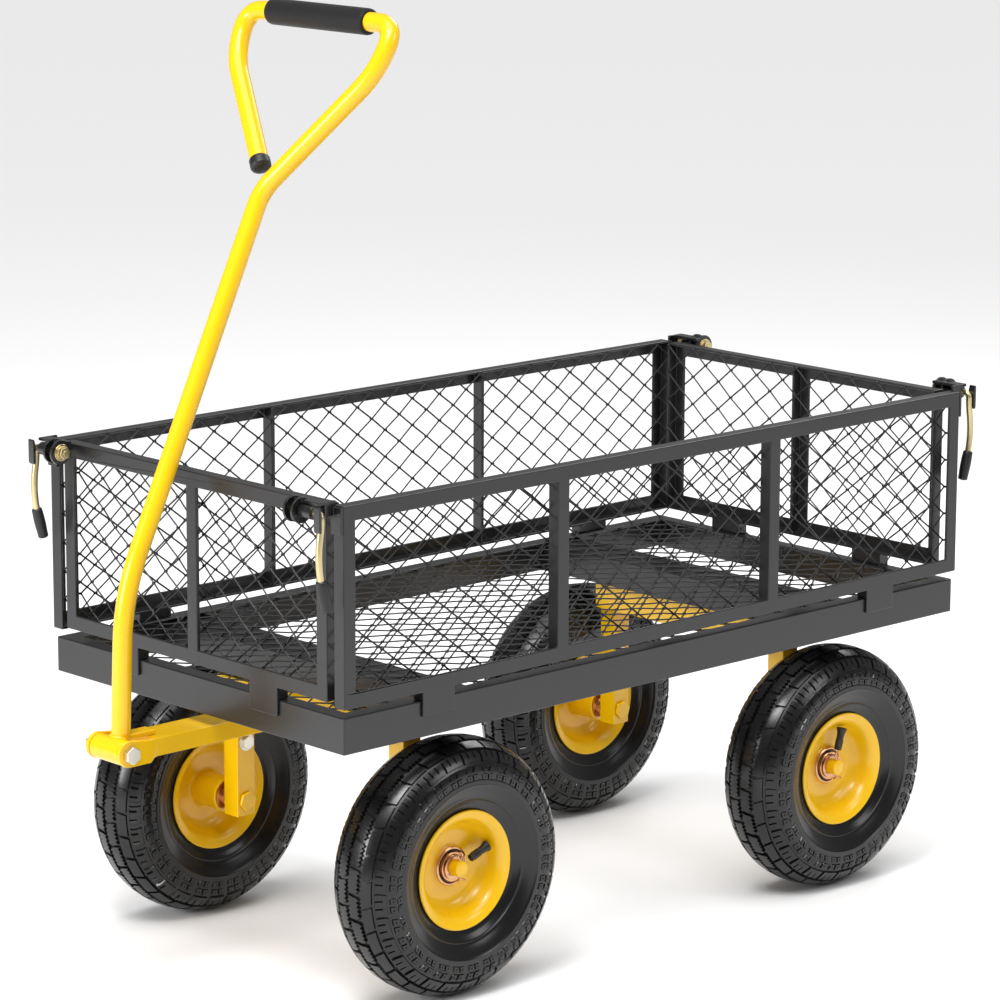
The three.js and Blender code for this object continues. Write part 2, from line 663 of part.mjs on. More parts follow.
// ---------------------------------------------------------------- panels
// A panel's own frame: u along it from its middle, w inwards from its outer face, z from the ground.
// box takes its corners in that frame and returns the solid in the cart's axes.
function panelFrame(length, bottom, posts, tabSpacing, box) {
  const half = length / 2;
  const top = PANEL_TOP_Z;
  const parts = [
    box(-half, half, 0, PANEL_SHEET, top - PANEL_LEG, top),
    box(-half, half, 0, PANEL_DEPTH, top - PANEL_SHEET, top),
    box(-half, half, 0, PANEL_SHEET, bottom, bottom + PANEL_LEG),
    box(-half, half, 0, PANEL_DEPTH, bottom, bottom + PANEL_SHEET),
  ];
  for (const end of [-1, 1]) {
    parts.push(
      box(end * half, end * (half - PANEL_LEG), 0, PANEL_SHEET, bottom, top),
      box(end * half, end * (half - PANEL_SHEET), 0, PANEL_DEPTH, bottom, top),
    );
    const tabFrom = (end * tabSpacing - TAB_WIDTH) / 2;
    const tabTo = tabFrom + TAB_WIDTH;
    parts.push(
      box(tabFrom, tabTo, 0, PANEL_PROUD - GAP, DECK_TOP - TAB_DROP, bottom + PANEL_SHEET),
      box(tabFrom, tabTo, 0, PANEL_DEPTH, DECK_TOP + GAP, bottom + 1),
    );
  }
  for (const share of posts) {
    const u = share * half;
    parts.push(
      box(u - PANEL_LEG / 2, u + PANEL_LEG / 2, 0, PANEL_SHEET, bottom, top),
      box(u - PANEL_LEG / 2, u - PANEL_LEG / 2 + PANEL_SHEET, 0, PANEL_DEPTH, bottom, top),
    );
  }
  return join(...parts);
}

// The mesh of a panel against the inner edges of its frame, as one plain sheet.
function panelMesh(length, bottom, box) {
  const half = length / 2 - PANEL_SHEET;
  const from = PANEL_DEPTH + GAP;
  return box(-half, half, from, from + MESH_SHEET, bottom + PANEL_SHEET, PANEL_TOP_Z - PANEL_SHEET);
}

const panels = [
  { name: "left", side: -1, long: true },
  { name: "right", side: 1, long: true },
  { name: "front", side: -1, long: false },
  { name: "rear", side: 1, long: false },
];
for (const { name, side, long } of panels) {
  const face = long ? LONG_FACE_X : END_FACE_Y;
  const across = (u0, u1, w0, w1, z0, z1) =>
    long
      ? block(side * (face - w0), side * (face - w1), u0, u1, z0, z1)
      : block(u0, u1, side * (face - w0), side * (face - w1), z0, z1);
  const length = 2 * (long ? LONG_END_Y : END_HALF_WIDTH);
  const bottom = DECK_TOP + (long ? LONG_PANEL_LIFT : END_PANEL_LIFT);
  const posts = long ? LONG_PANEL_POSTS : END_PANEL_POSTS;
  const tabs = long ? LONG_TAB_SPACING : END_TAB_SPACING;
  piece("panel_frame_" + name, panelFrame(length, bottom, posts, tabs, across), GREY_PAINT);
  piece("panel_mesh_" + name, panelMesh(length, bottom, across), GREY_PAINT);
}

// ---------------------------------------------------------------- corner latches
// Each latch is drawn for the front right corner, from the long panel's outer corner: x is minus the
// distance inboard, and y is minus the distance out past the panel's end.
const inset = (u) => -u;
const latchAxis = [-LATCH_STAND, LATCH_AXIS_Z];

// The clip on the post, an arm and the two round ears that carry the bolt.
function latchBracket() {
  const capTop = PANEL_TOP_Z - LATCH_CAP_BELOW_TOP;
  const plateLow = LATCH_AXIS_Z + LEVER_HUB_RADIUS + LATCH_PLATE_CLEARANCE;
  const plateHigh = plateLow + LATCH_SHEET;
  const armFrom = LEVER_INSET + LEVER_ROD_RADIUS + LATCH_ARM_CLEARANCE;
  const armTo = armFrom + LATCH_SHEET;
  const armEnd = -LATCH_STAND / 2 - LATCH_SHEET;
  const earsTo = LATCH_EARS[1] + LATCH_SHEET;
  const parts = [
    block(inset(0), inset(PANEL_DEPTH), -GAP, -GAP - LATCH_SHEET, capTop - LATCH_CAP_HEIGHT, capTop),
    block(inset(armFrom), inset(armTo), -GAP, armEnd, plateLow - LATCH_ARM_DROP, plateHigh),
    block(inset(armFrom), inset(earsTo), -LATCH_PLATE_FROM, -LATCH_STAND, plateLow, plateHigh),
  ];
  for (const ear of LATCH_EARS) {
    parts.push(bar("x", LATCH_EAR_RADIUS, inset(ear), inset(ear + LATCH_SHEET), latchAxis, 20));
  }
  const hole = bar(
    "x", LATCH_BOLT_RADIUS + GAP,
    inset(LATCH_EARS[0] - 1), inset(earsTo + 1),
    latchAxis, 12,
  );
  return cut(join(...parts), hole);
}

// The bolt through the ears and the lever's hub, with its nut.
function latchBolt() {
  const nutAt = LATCH_EARS[1] + LATCH_SHEET + GAP;
  const nutHeight = 5;
  const threadPastNut = 3;
  const boltTo = nutAt + nutHeight + threadPastNut;
  return join(
    bar("x", LATCH_BOLT_RADIUS, inset(LEVER_HUB.from + 1), inset(boltTo), latchAxis, 12),
    bar("x", LATCH_NUT_RADIUS, inset(nutAt), inset(nutAt + nutHeight), latchAxis, 6),
  );
}

const rodTurn = new THREE.Vector3(inset(LEVER_INSET), -LATCH_STAND, LATCH_AXIS_Z);
const rodMiddle = rodTurn.clone().add(new THREE.Vector3(0, -2, -0.55 * LEVER_LENGTH));
const leverFall = -LEVER_LENGTH - LEVER_GRIP_LENGTH;
const rodEnd = rodTurn.clone().add(new THREE.Vector3(0, LEVER_SLANT, leverFall));

// The hub on the bolt, the cam that bears on the end panel, and the bent rod that hangs as the lever.
function latchLever() {
  const hubTo = LATCH_EARS[0] - GAP;
  const camFrom = hubTo - LEVER_CAM.width;
  const camReach = LONG_END_Y - END_FACE_Y - 2 * GAP;
  const boreTo = inset(hubTo + 1);
  const collarFrom = inset(LEVER_HUB.from - LEVER_HUB.collar);
  const hub = bar("x", LEVER_HUB_RADIUS, collarFrom, inset(hubTo), latchAxis, 16);
  const bore = bar("x", LATCH_BOLT_RADIUS + RUNNING, inset(LEVER_HUB.from), boreTo, latchAxis, 12);
  const cam = block(
    inset(camFrom), inset(hubTo),
    -LATCH_STAND, camReach,
    LATCH_AXIS_Z - LEVER_CAM.half, LATCH_AXIS_Z + LEVER_CAM.half,
  );
  const tail = block(
    inset(camFrom), inset(hubTo),
    -LATCH_STAND - LEVER_TAIL.half, -LATCH_STAND + LEVER_TAIL.half,
    LATCH_AXIS_Z - LEVER_TAIL.drop, LATCH_AXIS_Z,
  );
  const shoe = block(
    inset(LEVER_INSET - LEVER_SHOE.half), inset(LEVER_INSET + LEVER_SHOE.half),
    -LATCH_STAND - LEVER_TAIL.half, -LATCH_STAND + LEVER_TAIL.half,
    LATCH_AXIS_Z - LEVER_SHOE.drop, LATCH_AXIS_Z + LEVER_SHOE.rise,
  );
  const start = rodTurn.clone().setX(inset(LEVER_HUB.from));
  const path = rounded([start, rodTurn, rodMiddle, rodEnd], [6, 20], 3);
  return join(cut(join(hub, cam, tail), bore), rod(path, LEVER_ROD_RADIUS, 10), shoe);
}

// The rubber sleeve on the lever's lower end.
function latchGrip() {
  const away = rodEnd.clone().sub(rodMiddle).normalize();
  const start = rodEnd.clone().addScaledVector(away, -LEVER_GRIP_LENGTH);
  const over = rodEnd.clone().addScaledVector(away, 2);
  const boreStart = start.clone().addScaledVector(away, -1);
  const boreEnd = rodEnd.clone().addScaledVector(away, GAP);
  const bore = rod([boreStart, boreEnd], LEVER_ROD_RADIUS + GAP);
  return cut(rod([start, over], LEVER_GRIP_RADIUS), bore);
}

for (const { name, side } of corners) {
  const end = name.startsWith("front") ? -1 : 1;
  const place = (made) => {
    const handed = side > 0 ? made : made.mirror([1, 0, 0]);
    const facing = end < 0 ? handed : handed.mirror([0, 1, 0]);
    return facing.translate([side * LONG_FACE_X, end * LONG_END_Y, 0]);
  };
  piece("latch_bracket_" + name, place(latchBracket()), BLACK_PAINT);
  piece("latch_bolt_" + name, place(latchBolt()), ZINC);
  piece("latch_lever_" + name, place(latchLever()), ZINC);
  piece("latch_grip_" + name, place(latchGrip()), BLACK_PLASTIC);
}

// The origin is the middle of the whole outline, on the ground.
const outline = new THREE.Box3().setFromObject(cart);
cart.position.y = -(outline.min.y + outline.max.y) / 2;

export default cart;
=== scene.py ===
"""Garden cart: a steel mesh deck on four air tyres, with lift-off mesh panels and a folding pull handle.

Metres, +Z up, X across the cart, the handle towards -Y.
"""

from __future__ import annotations

import json
import logging
import math
from dataclasses import dataclass
from enum import Enum
from typing import Callable, Iterable, Optional, Sequence, Union

import bmesh
import bpy
import numpy as np
from mathutils import Matrix, Vector


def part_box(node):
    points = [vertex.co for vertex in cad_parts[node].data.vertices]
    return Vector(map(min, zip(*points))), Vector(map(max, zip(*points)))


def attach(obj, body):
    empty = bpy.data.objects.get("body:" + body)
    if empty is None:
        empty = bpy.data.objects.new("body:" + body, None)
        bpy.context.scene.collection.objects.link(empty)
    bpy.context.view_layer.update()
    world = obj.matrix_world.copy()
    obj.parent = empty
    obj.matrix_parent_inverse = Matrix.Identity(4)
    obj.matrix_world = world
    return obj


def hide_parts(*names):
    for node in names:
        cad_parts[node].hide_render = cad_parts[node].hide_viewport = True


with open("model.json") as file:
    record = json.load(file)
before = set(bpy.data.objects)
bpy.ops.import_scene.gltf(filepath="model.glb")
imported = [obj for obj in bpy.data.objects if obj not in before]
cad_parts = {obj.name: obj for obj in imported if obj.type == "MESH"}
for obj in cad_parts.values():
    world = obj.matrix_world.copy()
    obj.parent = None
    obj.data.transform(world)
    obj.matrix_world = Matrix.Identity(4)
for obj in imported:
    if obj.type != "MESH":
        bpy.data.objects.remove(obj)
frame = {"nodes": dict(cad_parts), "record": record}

LOG = logging.getLogger("garden_cart")
MM = 0.001  # one millimetre in metres
EDGE_STEPS = 3  # steps in a rounded edge
EDGE_TURN_DEG = 32  # edges that turn more than this are rounded
SAME_SPOT = 1e-6  # corners closer than this are one, in metres
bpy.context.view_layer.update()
BODY_OF = {
    node: body
    for body, nodes in frame["record"]["behaviour"]["bodies"].items()
    for node in nodes
}
Point = tuple[float, float, float]
Outline = Sequence[tuple[float, float]]
Socket = bpy.types.NodeSocket


# ---------------------------------------------------------------- small helpers
def linear(code: str) -> tuple[float, float, float, float]:
    """Turns an sRGB hex colour into linear light.

    Args:
        code: six hex digits after a hash.

    Returns:
        Red, green, blue and alpha for a shader socket.
    """
    parts = (int(code[i : i + 2], 16) / 255 for i in (1, 3, 5))
    return (*(c / 12.92 if c <= 0.04045 else ((c + 0.055) / 1.055) ** 2.4 for c in parts), 1.0)


def add_node(
    tree: bpy.types.NodeTree,
    kind: str,
    settings: Optional[dict] = None,
    links: Optional[dict] = None,
) -> bpy.types.Node:
    """Adds a node with its settings and its incoming links.

    Args:
        tree: the material or geometry tree.
        kind: the node's type name.
        settings: node properties by name, or unlinked input values by socket name or number.
        links: output sockets by the name or number of the input that they feed.

    Returns:
        The new node.
    """
    node = tree.nodes.new(kind)
    for key, value in (settings or {}).items():
        if isinstance(key, str) and hasattr(node, key):
            setattr(node, key, value)
        else:
            node.inputs[key].default_value = value
    for key, socket in (links or {}).items():
        tree.links.new(socket, node.inputs[key])
    return node


def mesh_from(name: str, points: np.ndarray, faces: Iterable[Sequence[int]]) -> bpy.types.Mesh:
    """Makes a mesh from corners and faces.

    Args:
        name: the mesh's name.
        points: an array of corners, one row each, in metres.
        faces: the corner numbers of each face.

    Returns:
        The new mesh.
    """
    mesh = bpy.data.meshes.new(name)
    mesh.from_pydata([tuple(p) for p in points], [], [tuple(f) for f in faces])
    mesh.validate()
    return mesh


def smooth(mesh: bpy.types.Mesh, crease_deg: float = 35.0) -> bpy.types.Mesh:
    """Shades a mesh smooth, apart from edges sharper than the crease angle.

    Args:
        mesh: the mesh to shade.
        crease_deg: edges that turn more than this stay crisp.

    Returns:
        The same mesh.
    """
    mesh.shade_smooth()
    mesh.set_sharp_from_angle(angle=math.radians(crease_deg))
    return mesh


def merged(meshes: Sequence[bpy.types.Mesh], name: str) -> bpy.types.Mesh:
    """Gathers several meshes into one.

    Args:
        meshes: the meshes, whose places are already in their corners.
        name: the new mesh's name.

    Returns:
        One mesh that holds them all.
    """
    gathered = bmesh.new()
    for mesh in meshes:
        gathered.from_mesh(mesh)
    whole = bpy.data.meshes.new(name)
    gathered.to_mesh(whole)
    gathered.free()
    return whole


def evaluated_mesh(piece: bpy.types.Object, name: str) -> bpy.types.Mesh:
    """Turns an object and its modifiers into a plain mesh, and removes the object.

    Args:
        piece: the object with live modifiers.
        name: the new mesh's name.

    Returns:
        The evaluated mesh.
    """
    bpy.context.view_layer.update()
    graph = bpy.context.evaluated_depsgraph_get()
    made = bpy.data.meshes.new_from_object(
        piece.evaluated_get(graph), preserve_all_data_layers=True, depsgraph=graph
    )
    made.name = name
    bpy.data.objects.remove(piece)
    return made


def loose_object(name: str, mesh: bpy.types.Mesh) -> bpy.types.Object:
    """Links a mesh into the scene as an object at the origin.

    Args:
        name: the object's name.
        mesh: its mesh.

    Returns:
        The new object.
    """
    made = bpy.data.objects.new(name, mesh)
    bpy.context.scene.collection.objects.link(made)
    return made


def place_piece(
    name: str,
    mesh: bpy.types.Mesh,
    body: str,
    look: Look,
    stands_for: Sequence[str] = (),
) -> bpy.types.Object:
    """Adds a finished piece to the cart.

    Args:
        name: the piece's name.
        mesh: its mesh, with its place in its corners.
        body: the moving body that it rides on.
        look: what it is coated with or made of.
        stands_for: the CAD nodes that it replaces.

    Returns:
        The new object.
    """
    mesh.materials.clear()
    mesh.materials.append(look.value.material())
    piece = loose_object(name, mesh)
    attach(piece, body)
    if stands_for:
        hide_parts(*stands_for)
    return piece


# ---------------------------------------------------------------- shapes
def lathe(
    name: str,
    outline: Outline,
    centre: Point,
    sides: int = 96,
    axis: str = "x",
    hand: int = 1,
) -> bpy.types.Mesh:
    """Turns a closed outline about an axis.

    Args:
        name: the mesh's name.
        outline: (radius, distance along the axis) corners in millimetres; a radius of 0 closes at the axis.
        centre: the middle of the turned piece, in metres.
        sides: how many steps make the full turn.
        axis: "x", "y" or "z".
        hand: -1 mirrors the piece along its axis.

    Returns:
        A closed mesh whose faces point outwards.
    """
    rings = np.array(outline, float) * MM
    turn = np.linspace(0, 2 * math.pi, sides, endpoint=False)
    along = np.repeat(rings[:, 1][:, None] * hand, sides, axis=1)
    first = rings[:, 0][:, None] * np.cos(turn)
    second = rings[:, 0][:, None] * np.sin(turn)
    order = {"x": (along, first, second), "y": (second, along, first), "z": (first, second, along)}[axis]
    points = np.stack(order, axis=-1).reshape(-1, 3) + np.array(centre)
    count = len(outline)
    faces = []
    for i in range(count):
        for j in range(sides):
            a, b = i * sides + j, i * sides + (j + 1) % sides
            c, d = (i + 1) % count * sides + (j + 1) % sides, (i + 1) % count * sides + j
            faces.append((a, b, c, d))
    return cleaned(mesh_from(name, points, faces))


def cleaned(mesh: bpy.types.Mesh, crease_deg: float = 35.0) -> bpy.types.Mesh:
    """Merges doubled corners, drops empty faces, points every face outwards and shades the mesh.

    Args:
        mesh: the mesh to clean.
        crease_deg: edges that turn more than this stay crisp.

    Returns:
        The same mesh.
    """
    shape = bmesh.new()
    shape.from_mesh(mesh)
    bmesh.ops.remove_doubles(shape, verts=shape.verts, dist=SAME_SPOT)
    bmesh.ops.dissolve_degenerate(shape, edges=shape.edges, dist=1e-7)
    bmesh.ops.recalc_face_normals(shape, faces=shape.faces)
    shape.to_mesh(mesh)
    shape.free()
    return smooth(mesh, crease_deg)


def rounded_route(corners: Sequence[Point], cut_backs: Sequence[float], steps: int = 10) -> list[Vector]:
    """Rounds the inner corners of a bent rod.

    Args:
        corners: the route's corners.
        cut_backs: how far before and after each inner corner the bend starts, in the corners' unit.
        steps: how many pieces each bend has.

    Returns:
        The points of the rounded route.
    """
    spots = [Vector(c) for c in corners]
    route = [spots[0]]
    for before, corner, after, cut in zip(spots, spots[1:], spots[2:], cut_backs):
        start = corner + (before - corner).normalized() * cut
        end = corner + (after - corner).normalized() * cut
        for i in range(steps + 1):
            t = i / steps
            route.append(start * (1 - t) ** 2 + corner * 2 * t * (1 - t) + end * t**2)
    route.append(spots[-1])
    return route


def rod(
    name: str,
    route: Sequence[Vector],
    radius: Union[float, Callable[[float], float]],
    sides: int = 24,
    dome: float = 0.0,
) -> bpy.types.Mesh:
    """Sweeps a round section along a route.

    Args:
        name: the mesh's name.
        route: points in metres.
        radius: the section's radius in metres, or a function of the share of the length.
        sides: corners of the section.
        dome: how far the ends bulge, in metres.

    Returns:
        A closed mesh whose faces point outwards.
    """
    spots = [route[0]]
    spots += [p for p, q in zip(route[1:], route) if (p - q).length > 1e-7]
    lengths = np.cumsum([0.0] + [(b - a).length for a, b in zip(spots, spots[1:])])
    size = radius if callable(radius) else lambda share: radius
    rings: list[tuple[Vector, Vector, float]] = []
    for i, spot in enumerate(spots):
        ahead = spots[min(i + 1, len(spots) - 1)] - spots[max(i - 1, 0)]
        rings.append((spot, ahead.normalized(), size(lengths[i] / lengths[-1])))
    if dome > 0:
        arc = [math.radians(a) for a in (20, 45, 70, 85)]
        head, tail = rings[0], rings[-1]
        front = [(head[0] - head[1] * dome * math.sin(a), head[1], head[2] * math.cos(a)) for a in arc]
        back = [(tail[0] + tail[1] * dome * math.sin(a), tail[1], tail[2] * math.cos(a)) for a in arc]
        rings = front[::-1] + rings + back
    side = rings[0][1].orthogonal().normalized()
    points: list[Vector] = []
    for spot, ahead, reach in rings:
        side = (side - ahead * side.dot(ahead)).normalized()
        other = ahead.cross(side)
        for j in range(sides):
            turn = 2 * math.pi * j / sides
            points.append(spot + (side * math.cos(turn) + other * math.sin(turn)) * reach)
    faces: list[tuple[int, ...]] = []
    for i in range(len(rings) - 1):
        for j in range(sides):
            k = (j + 1) % sides
            faces.append((i * sides + j, i * sides + k, (i + 1) * sides + k, (i + 1) * sides + j))
    last = (len(rings) - 1) * sides
    faces.append(tuple(reversed(range(sides))))
    faces.append(tuple(range(last, last + sides)))
    return cleaned(mesh_from(name, np.array([tuple(p) for p in points]), faces), 40)


def prism(
    name: str,
    outline: Outline,
    low: float,
    high: float,
    axis: str,
    edge: float = 0.6,
) -> bpy.types.Mesh:
    """Pushes a flat outline along an axis and rounds its edges.

    Args:
        name: the mesh's name.
        outline: corners in millimetres, in the two other axes in x, y, z order.
        low: where it starts along the axis, in millimetres.
        high: where it ends.
        axis: "x", "y" or "z".
        edge: the rounding of its edges, in millimetres.

    Returns:
        A closed mesh whose faces point outwards.
    """
    slot = "xyz".index(axis)
    points = np.array([np.insert(np.array(p, float), slot, level) for level in (low, high) for p in outline])
    count = len(outline)
    faces = [tuple(range(count)), tuple(range(count, 2 * count))]
    faces += [(i, (i + 1) % count, count + (i + 1) % count, count + i) for i in range(count)]
    mesh = cleaned(mesh_from(name, points * MM, faces))
    return rounded_edges(mesh, edge * MM, name)


def ngon(
    centre: tuple[float, float], radius: float, sides: int, turn: float = 0.0
) -> list[tuple[float, float]]:
    """Gives the corners of a regular polygon.

    Args:
        centre: its middle.
        radius: from the middle to a corner.
        sides: how many corners.
        turn: how far it is turned, in degrees.

    Returns:
        The corners in order.
    """
    angles = (math.radians(turn + 360 * i / sides) for i in range(sides))
    return [(centre[0] + radius * math.cos(a), centre[1] + radius * math.sin(a)) for a in angles]


def rounded_edges(mesh: bpy.types.Mesh, width: float, name: str) -> bpy.types.Mesh:
    """Rounds the sharp edges of a mesh, so that they catch the light.

    Args:
        mesh: a merged mesh of flat faces.
        width: the rounding in metres.
        name: the new mesh's name.

    Returns:
        The rounded mesh.
    """
    if width <= 0:
        return mesh
    mesh.shade_smooth()
    holder = loose_object("rounding", mesh)
    bevel = holder.modifiers.new("edges", "BEVEL")
    bevel.width = width
    bevel.segments = EDGE_STEPS
    bevel.limit_method = "ANGLE"
    bevel.angle_limit = math.radians(EDGE_TURN_DEG)
    bevel.use_clamp_overlap = False
    bevel.harden_normals = True
    return evaluated_mesh(holder, name)


def merged_node(node: str) -> bpy.types.Mesh:
    """Copies a CAD node with its triangles merged into flat faces.

    Args:
        node: the CAD node's name.

    Returns:
        A new mesh; the node's own is left alone.
    """
    source = frame["nodes"][node].data
    points = np.array([tuple(v.co) for v in source.vertices])
    mesh = mesh_from(node + "_copy", points, [tuple(p.vertices) for p in source.polygons])
    shape = bmesh.new()
    shape.from_mesh(mesh)
    bmesh.ops.remove_doubles(shape, verts=shape.verts, dist=SAME_SPOT)
    bmesh.ops.dissolve_limit(
        shape, angle_limit=math.radians(0.6), verts=shape.verts, edges=shape.edges, delimit={"NORMAL"}
    )
    shape.to_mesh(mesh)
    shape.free()
    return mesh


def coated_node(node: str, look: Look, edge: float) -> bpy.types.Object:
    """Stands a round-edged copy of a CAD node in its place.

    Args:
        node: the CAD node's name.
        look: what the piece is coated with.
        edge: the rounding of its edges, in millimetres.

    Returns:
        The new piece.
    """
    name = node + "_coated"
    mesh = rounded_edges(merged_node(node), edge * MM, name)
    return place_piece(name, mesh, BODY_OF[node], look, [node])


# ---------------------------------------------------------------- finishes
CLOUD_MM = 60  # the size of a finish's slow change of tone
GLOSS_DRIFT = 0.03  # how far the roughness wanders either way
BUMP_STRENGTH = 0.5


def bump(tree: bpy.types.NodeTree, depth_mm: float, height: Socket) -> Socket:
    """Adds a bump node.

    Args:
        tree: the material tree.
        depth_mm: how deep the pattern looks.
        height: the pattern's socket.

    Returns:
        The bent surface direction.
    """
    settings = {"Strength": BUMP_STRENGTH, "Distance": depth_mm * MM}
    return add_node(tree, "ShaderNodeBump", settings, {"Height": height}).outputs["Normal"]


@dataclass(frozen=True)
class Finish:
    """What a piece is made of or coated with.

    Attributes:
        name: the material's common name.
        slot: the record's material slot; not used.
        colour: its main colour, sRGB hex.
        shade: the colour of its slow variation.
        roughness: the main roughness.
        grain_mm: the size of its surface pattern.
        relief: how deep the pattern looks, as bump distance in millimetres; 0 leaves it flat.
    """

    name: str
    slot: str
    colour: str
    shade: str
    roughness: float
    grain_mm: float
    relief: float

    def material(self) -> bpy.types.Material:
        """Gives the material, which is built at its first use.

        Returns:
            The material.
        """
        made = bpy.data.materials.get(self.name)
        if made is None:
            made = bpy.data.materials.new(self.name)
            made.use_nodes = True
            made.node_tree.nodes.clear()
            self.build(made.node_tree)
        return made

    def build(self, tree: bpy.types.NodeTree) -> bpy.types.Node:
        """Builds the shared part of every finish: two tones, uneven gloss and, where it has one, a relief.

        Args:
            tree: the empty material tree.

        Returns:
            The Principled shader, for a finish to set further.
        """
        spot = {"Vector": add_node(tree, "ShaderNodeTexCoord").outputs["Object"]}
        cloud = add_node(tree, "ShaderNodeTexNoise", {"Scale": 1 / (CLOUD_MM * MM), "Detail": 3.0}, spot)
        grain = add_node(tree, "ShaderNodeTexNoise", {"Scale": 1 / (self.grain_mm * MM), "Detail": 2.0}, spot)
        tone = add_node(
            tree,
            "ShaderNodeMix",
            {"data_type": "RGBA", 6: linear(self.colour), 7: linear(self.shade)},
            {0: cloud.outputs["Fac"]},
        )
        gloss = add_node(
            tree,
            "ShaderNodeMapRange",
            {"To Min": self.roughness - GLOSS_DRIFT, "To Max": self.roughness + GLOSS_DRIFT},
            {"Value": grain.outputs["Fac"]},
        )
        links = {"Base Color": tone.outputs[2], "Roughness": gloss.outputs["Result"]}
        if self.relief:
            links["Normal"] = bump(tree, self.relief, grain.outputs["Fac"])
        shader = add_node(tree, "ShaderNodeBsdfPrincipled", {}, links)
        add_node(tree, "ShaderNodeOutputMaterial", {}, {"Surface": shader.outputs["BSDF"]})
        return shader


@dataclass(frozen=True)
class PowderCoat(Finish):
    """Sprayed and baked paint on steel: even, with a soft sheen, and an orange peel where it has relief.

    Attributes:
        clear: the weight of the glossy skin that the baked paint has.
    """

    clear: float = 0.0

    def build(self, tree: bpy.types.NodeTree) -> bpy.types.Node:
        """Builds the coat, and gives it its glossy skin.

        Args:
            tree: the empty material tree.

        Returns:
            The Principled shader.
        """
        shader = super().build(tree)
        shader.inputs["Coat Weight"].default_value = self.clear
        shader.inputs["Coat Roughness"].default_value = 0.12
        shader.inputs["IOR"].default_value = 1.5
        return shader


@dataclass(frozen=True)
class Rubber(Finish):
    """Moulded rubber: dark and matt, with a soft sheen at grazing angles."""

    def build(self, tree: bpy.types.NodeTree) -> bpy.types.Node:
        """Builds the rubber, and gives it a rubber's low reflectance.

        Args:
            tree: the empty material tree.

        Returns:
            The Principled shader.
        """
        shader = super().build(tree)
        shader.inputs["IOR"].default_value = 1.5
        shader.inputs["Specular IOR Level"].default_value = 0.5
        shader.inputs["Sheen Weight"].default_value = 0.03
        shader.inputs["Sheen Roughness"].default_value = 0.5
        return shader


@dataclass(frozen=True)
class PlatedSteel(Finish):
    """Zinc-plated steel with a chromate film, whose colour drifts from place to place."""

    def build(self, tree: bpy.types.NodeTree) -> bpy.types.Node:
        """Builds the plating as a metal.

        Args:
            tree: the empty material tree.

        Returns:
            The Principled shader.
        """
        shader = super().build(tree)
        shader.inputs["Metallic"].default_value = 1.0
        return shader


@dataclass(frozen=True)
class Foam(Finish):
    """Closed-cell foam rubber: no gloss, and a pitted skin.

    Attributes:
        cell_mm: the size of a cell.
        pit_mm: how deep its pit looks.
    """

    cell_mm: float = 2.2
    pit_mm: float = 0.3

    def build(self, tree: bpy.types.NodeTree) -> bpy.types.Node:
        """Builds the foam, with pits of the cells' size over its grain.

        Args:
            tree: the empty material tree.

        Returns:
            The Principled shader.
        """
        shader = super().build(tree)
        spot = {"Vector": add_node(tree, "ShaderNodeTexCoord").outputs["Object"]}
        pits = add_node(tree, "ShaderNodeTexVoronoi", {"Scale": 1 / (self.cell_mm * MM)}, spot)
        tree.links.new(bump(tree, self.pit_mm, pits.outputs["Distance"]), shader.inputs["Normal"])
        shader.inputs["Sheen Weight"].default_value = 0.05
        shader.inputs["Specular IOR Level"].default_value = 0.25
        return shader


class Look(Enum):
    """The cart's finishes. Grain that is too fine to see is drawn as coarse as it needs to show."""

    # Polyester powder coat, gloss: the eye sees clean saturated yellow with soft white lamp reflections.
    YELLOW_PAINT = PowderCoat(
        "gloss_yellow_powder_coat", "yellow_paint", "#EEBC06", "#E9B604", 0.24, 8.0, 0.0, 0.15
    )
    # Polyester powder coat, satin: a dark neutral grey, smooth, whose rounded folds catch the light.
    GREY_PAINT = PowderCoat(
        "satin_grey_powder_coat", "grey_paint", "#1E1E20", "#1B1B1D", 0.32, 8.0, 0.0, 0.15
    )
    # The same grey on thin expanded strands, set darker than the frames' grey as painted shade for the shade
    # between the strands.
    GREY_MESH = PowderCoat(
        "grey_coated_expanded_steel", "grey_mesh", "#101011", "#0D0D0E", 0.42, 5.0, 0.01, 0.0
    )
    # Stove-enamelled black on the pressed latch plates.
    BLACK_PAINT = PowderCoat(
        "black_enamelled_steel", "black_paint", "#121213", "#0F0F10", 0.28, 1.8, 0.03, 0.3
    )
    # Carbon-black tyre rubber, moulded: satin where the mould was polished.
    TYRE_RUBBER = Rubber("moulded_tyre_rubber", "tyre", "#060607", "#040405", 0.24, 1.4, 0.05)
    # Moulded rubber sleeves, caps and valves; also the black ring of painted shade in the outboard bush's
    # groove.
    BLACK_RUBBER = Rubber("moulded_black_rubber", "black_rubber", "#131314", "#101011", 0.42, 1.2, 0.04)
    # Nitrile foam of the hand grip.
    GRIP_FOAM = Foam("nitrile_foam", "grip_foam", "#161517", "#131213", 0.58, 1.6, 0.12)
    # Yellow chromate over zinc: brassy with a drift towards green-grey.
    YELLOW_ZINC = PlatedSteel("yellow_chromated_zinc", "yellow_zinc", "#DCCFA4", "#C0AE7C", 0.32, 3.0, 0.02)
    # Bright zinc with a warm film: the bushes, washers and cotter pins read as pale copper.
    WARM_ZINC = PlatedSteel("warm_chromated_zinc", "bush_steel", "#E0B489", "#C08C62", 0.26, 3.0, 0.02)
    # Bare bright zinc of the bolt heads.
    BRIGHT_ZINC = PlatedSteel("bright_zinc", "yellow_zinc", "#E6E1D6", "#CFC8BA", 0.3, 3.0, 0.02)


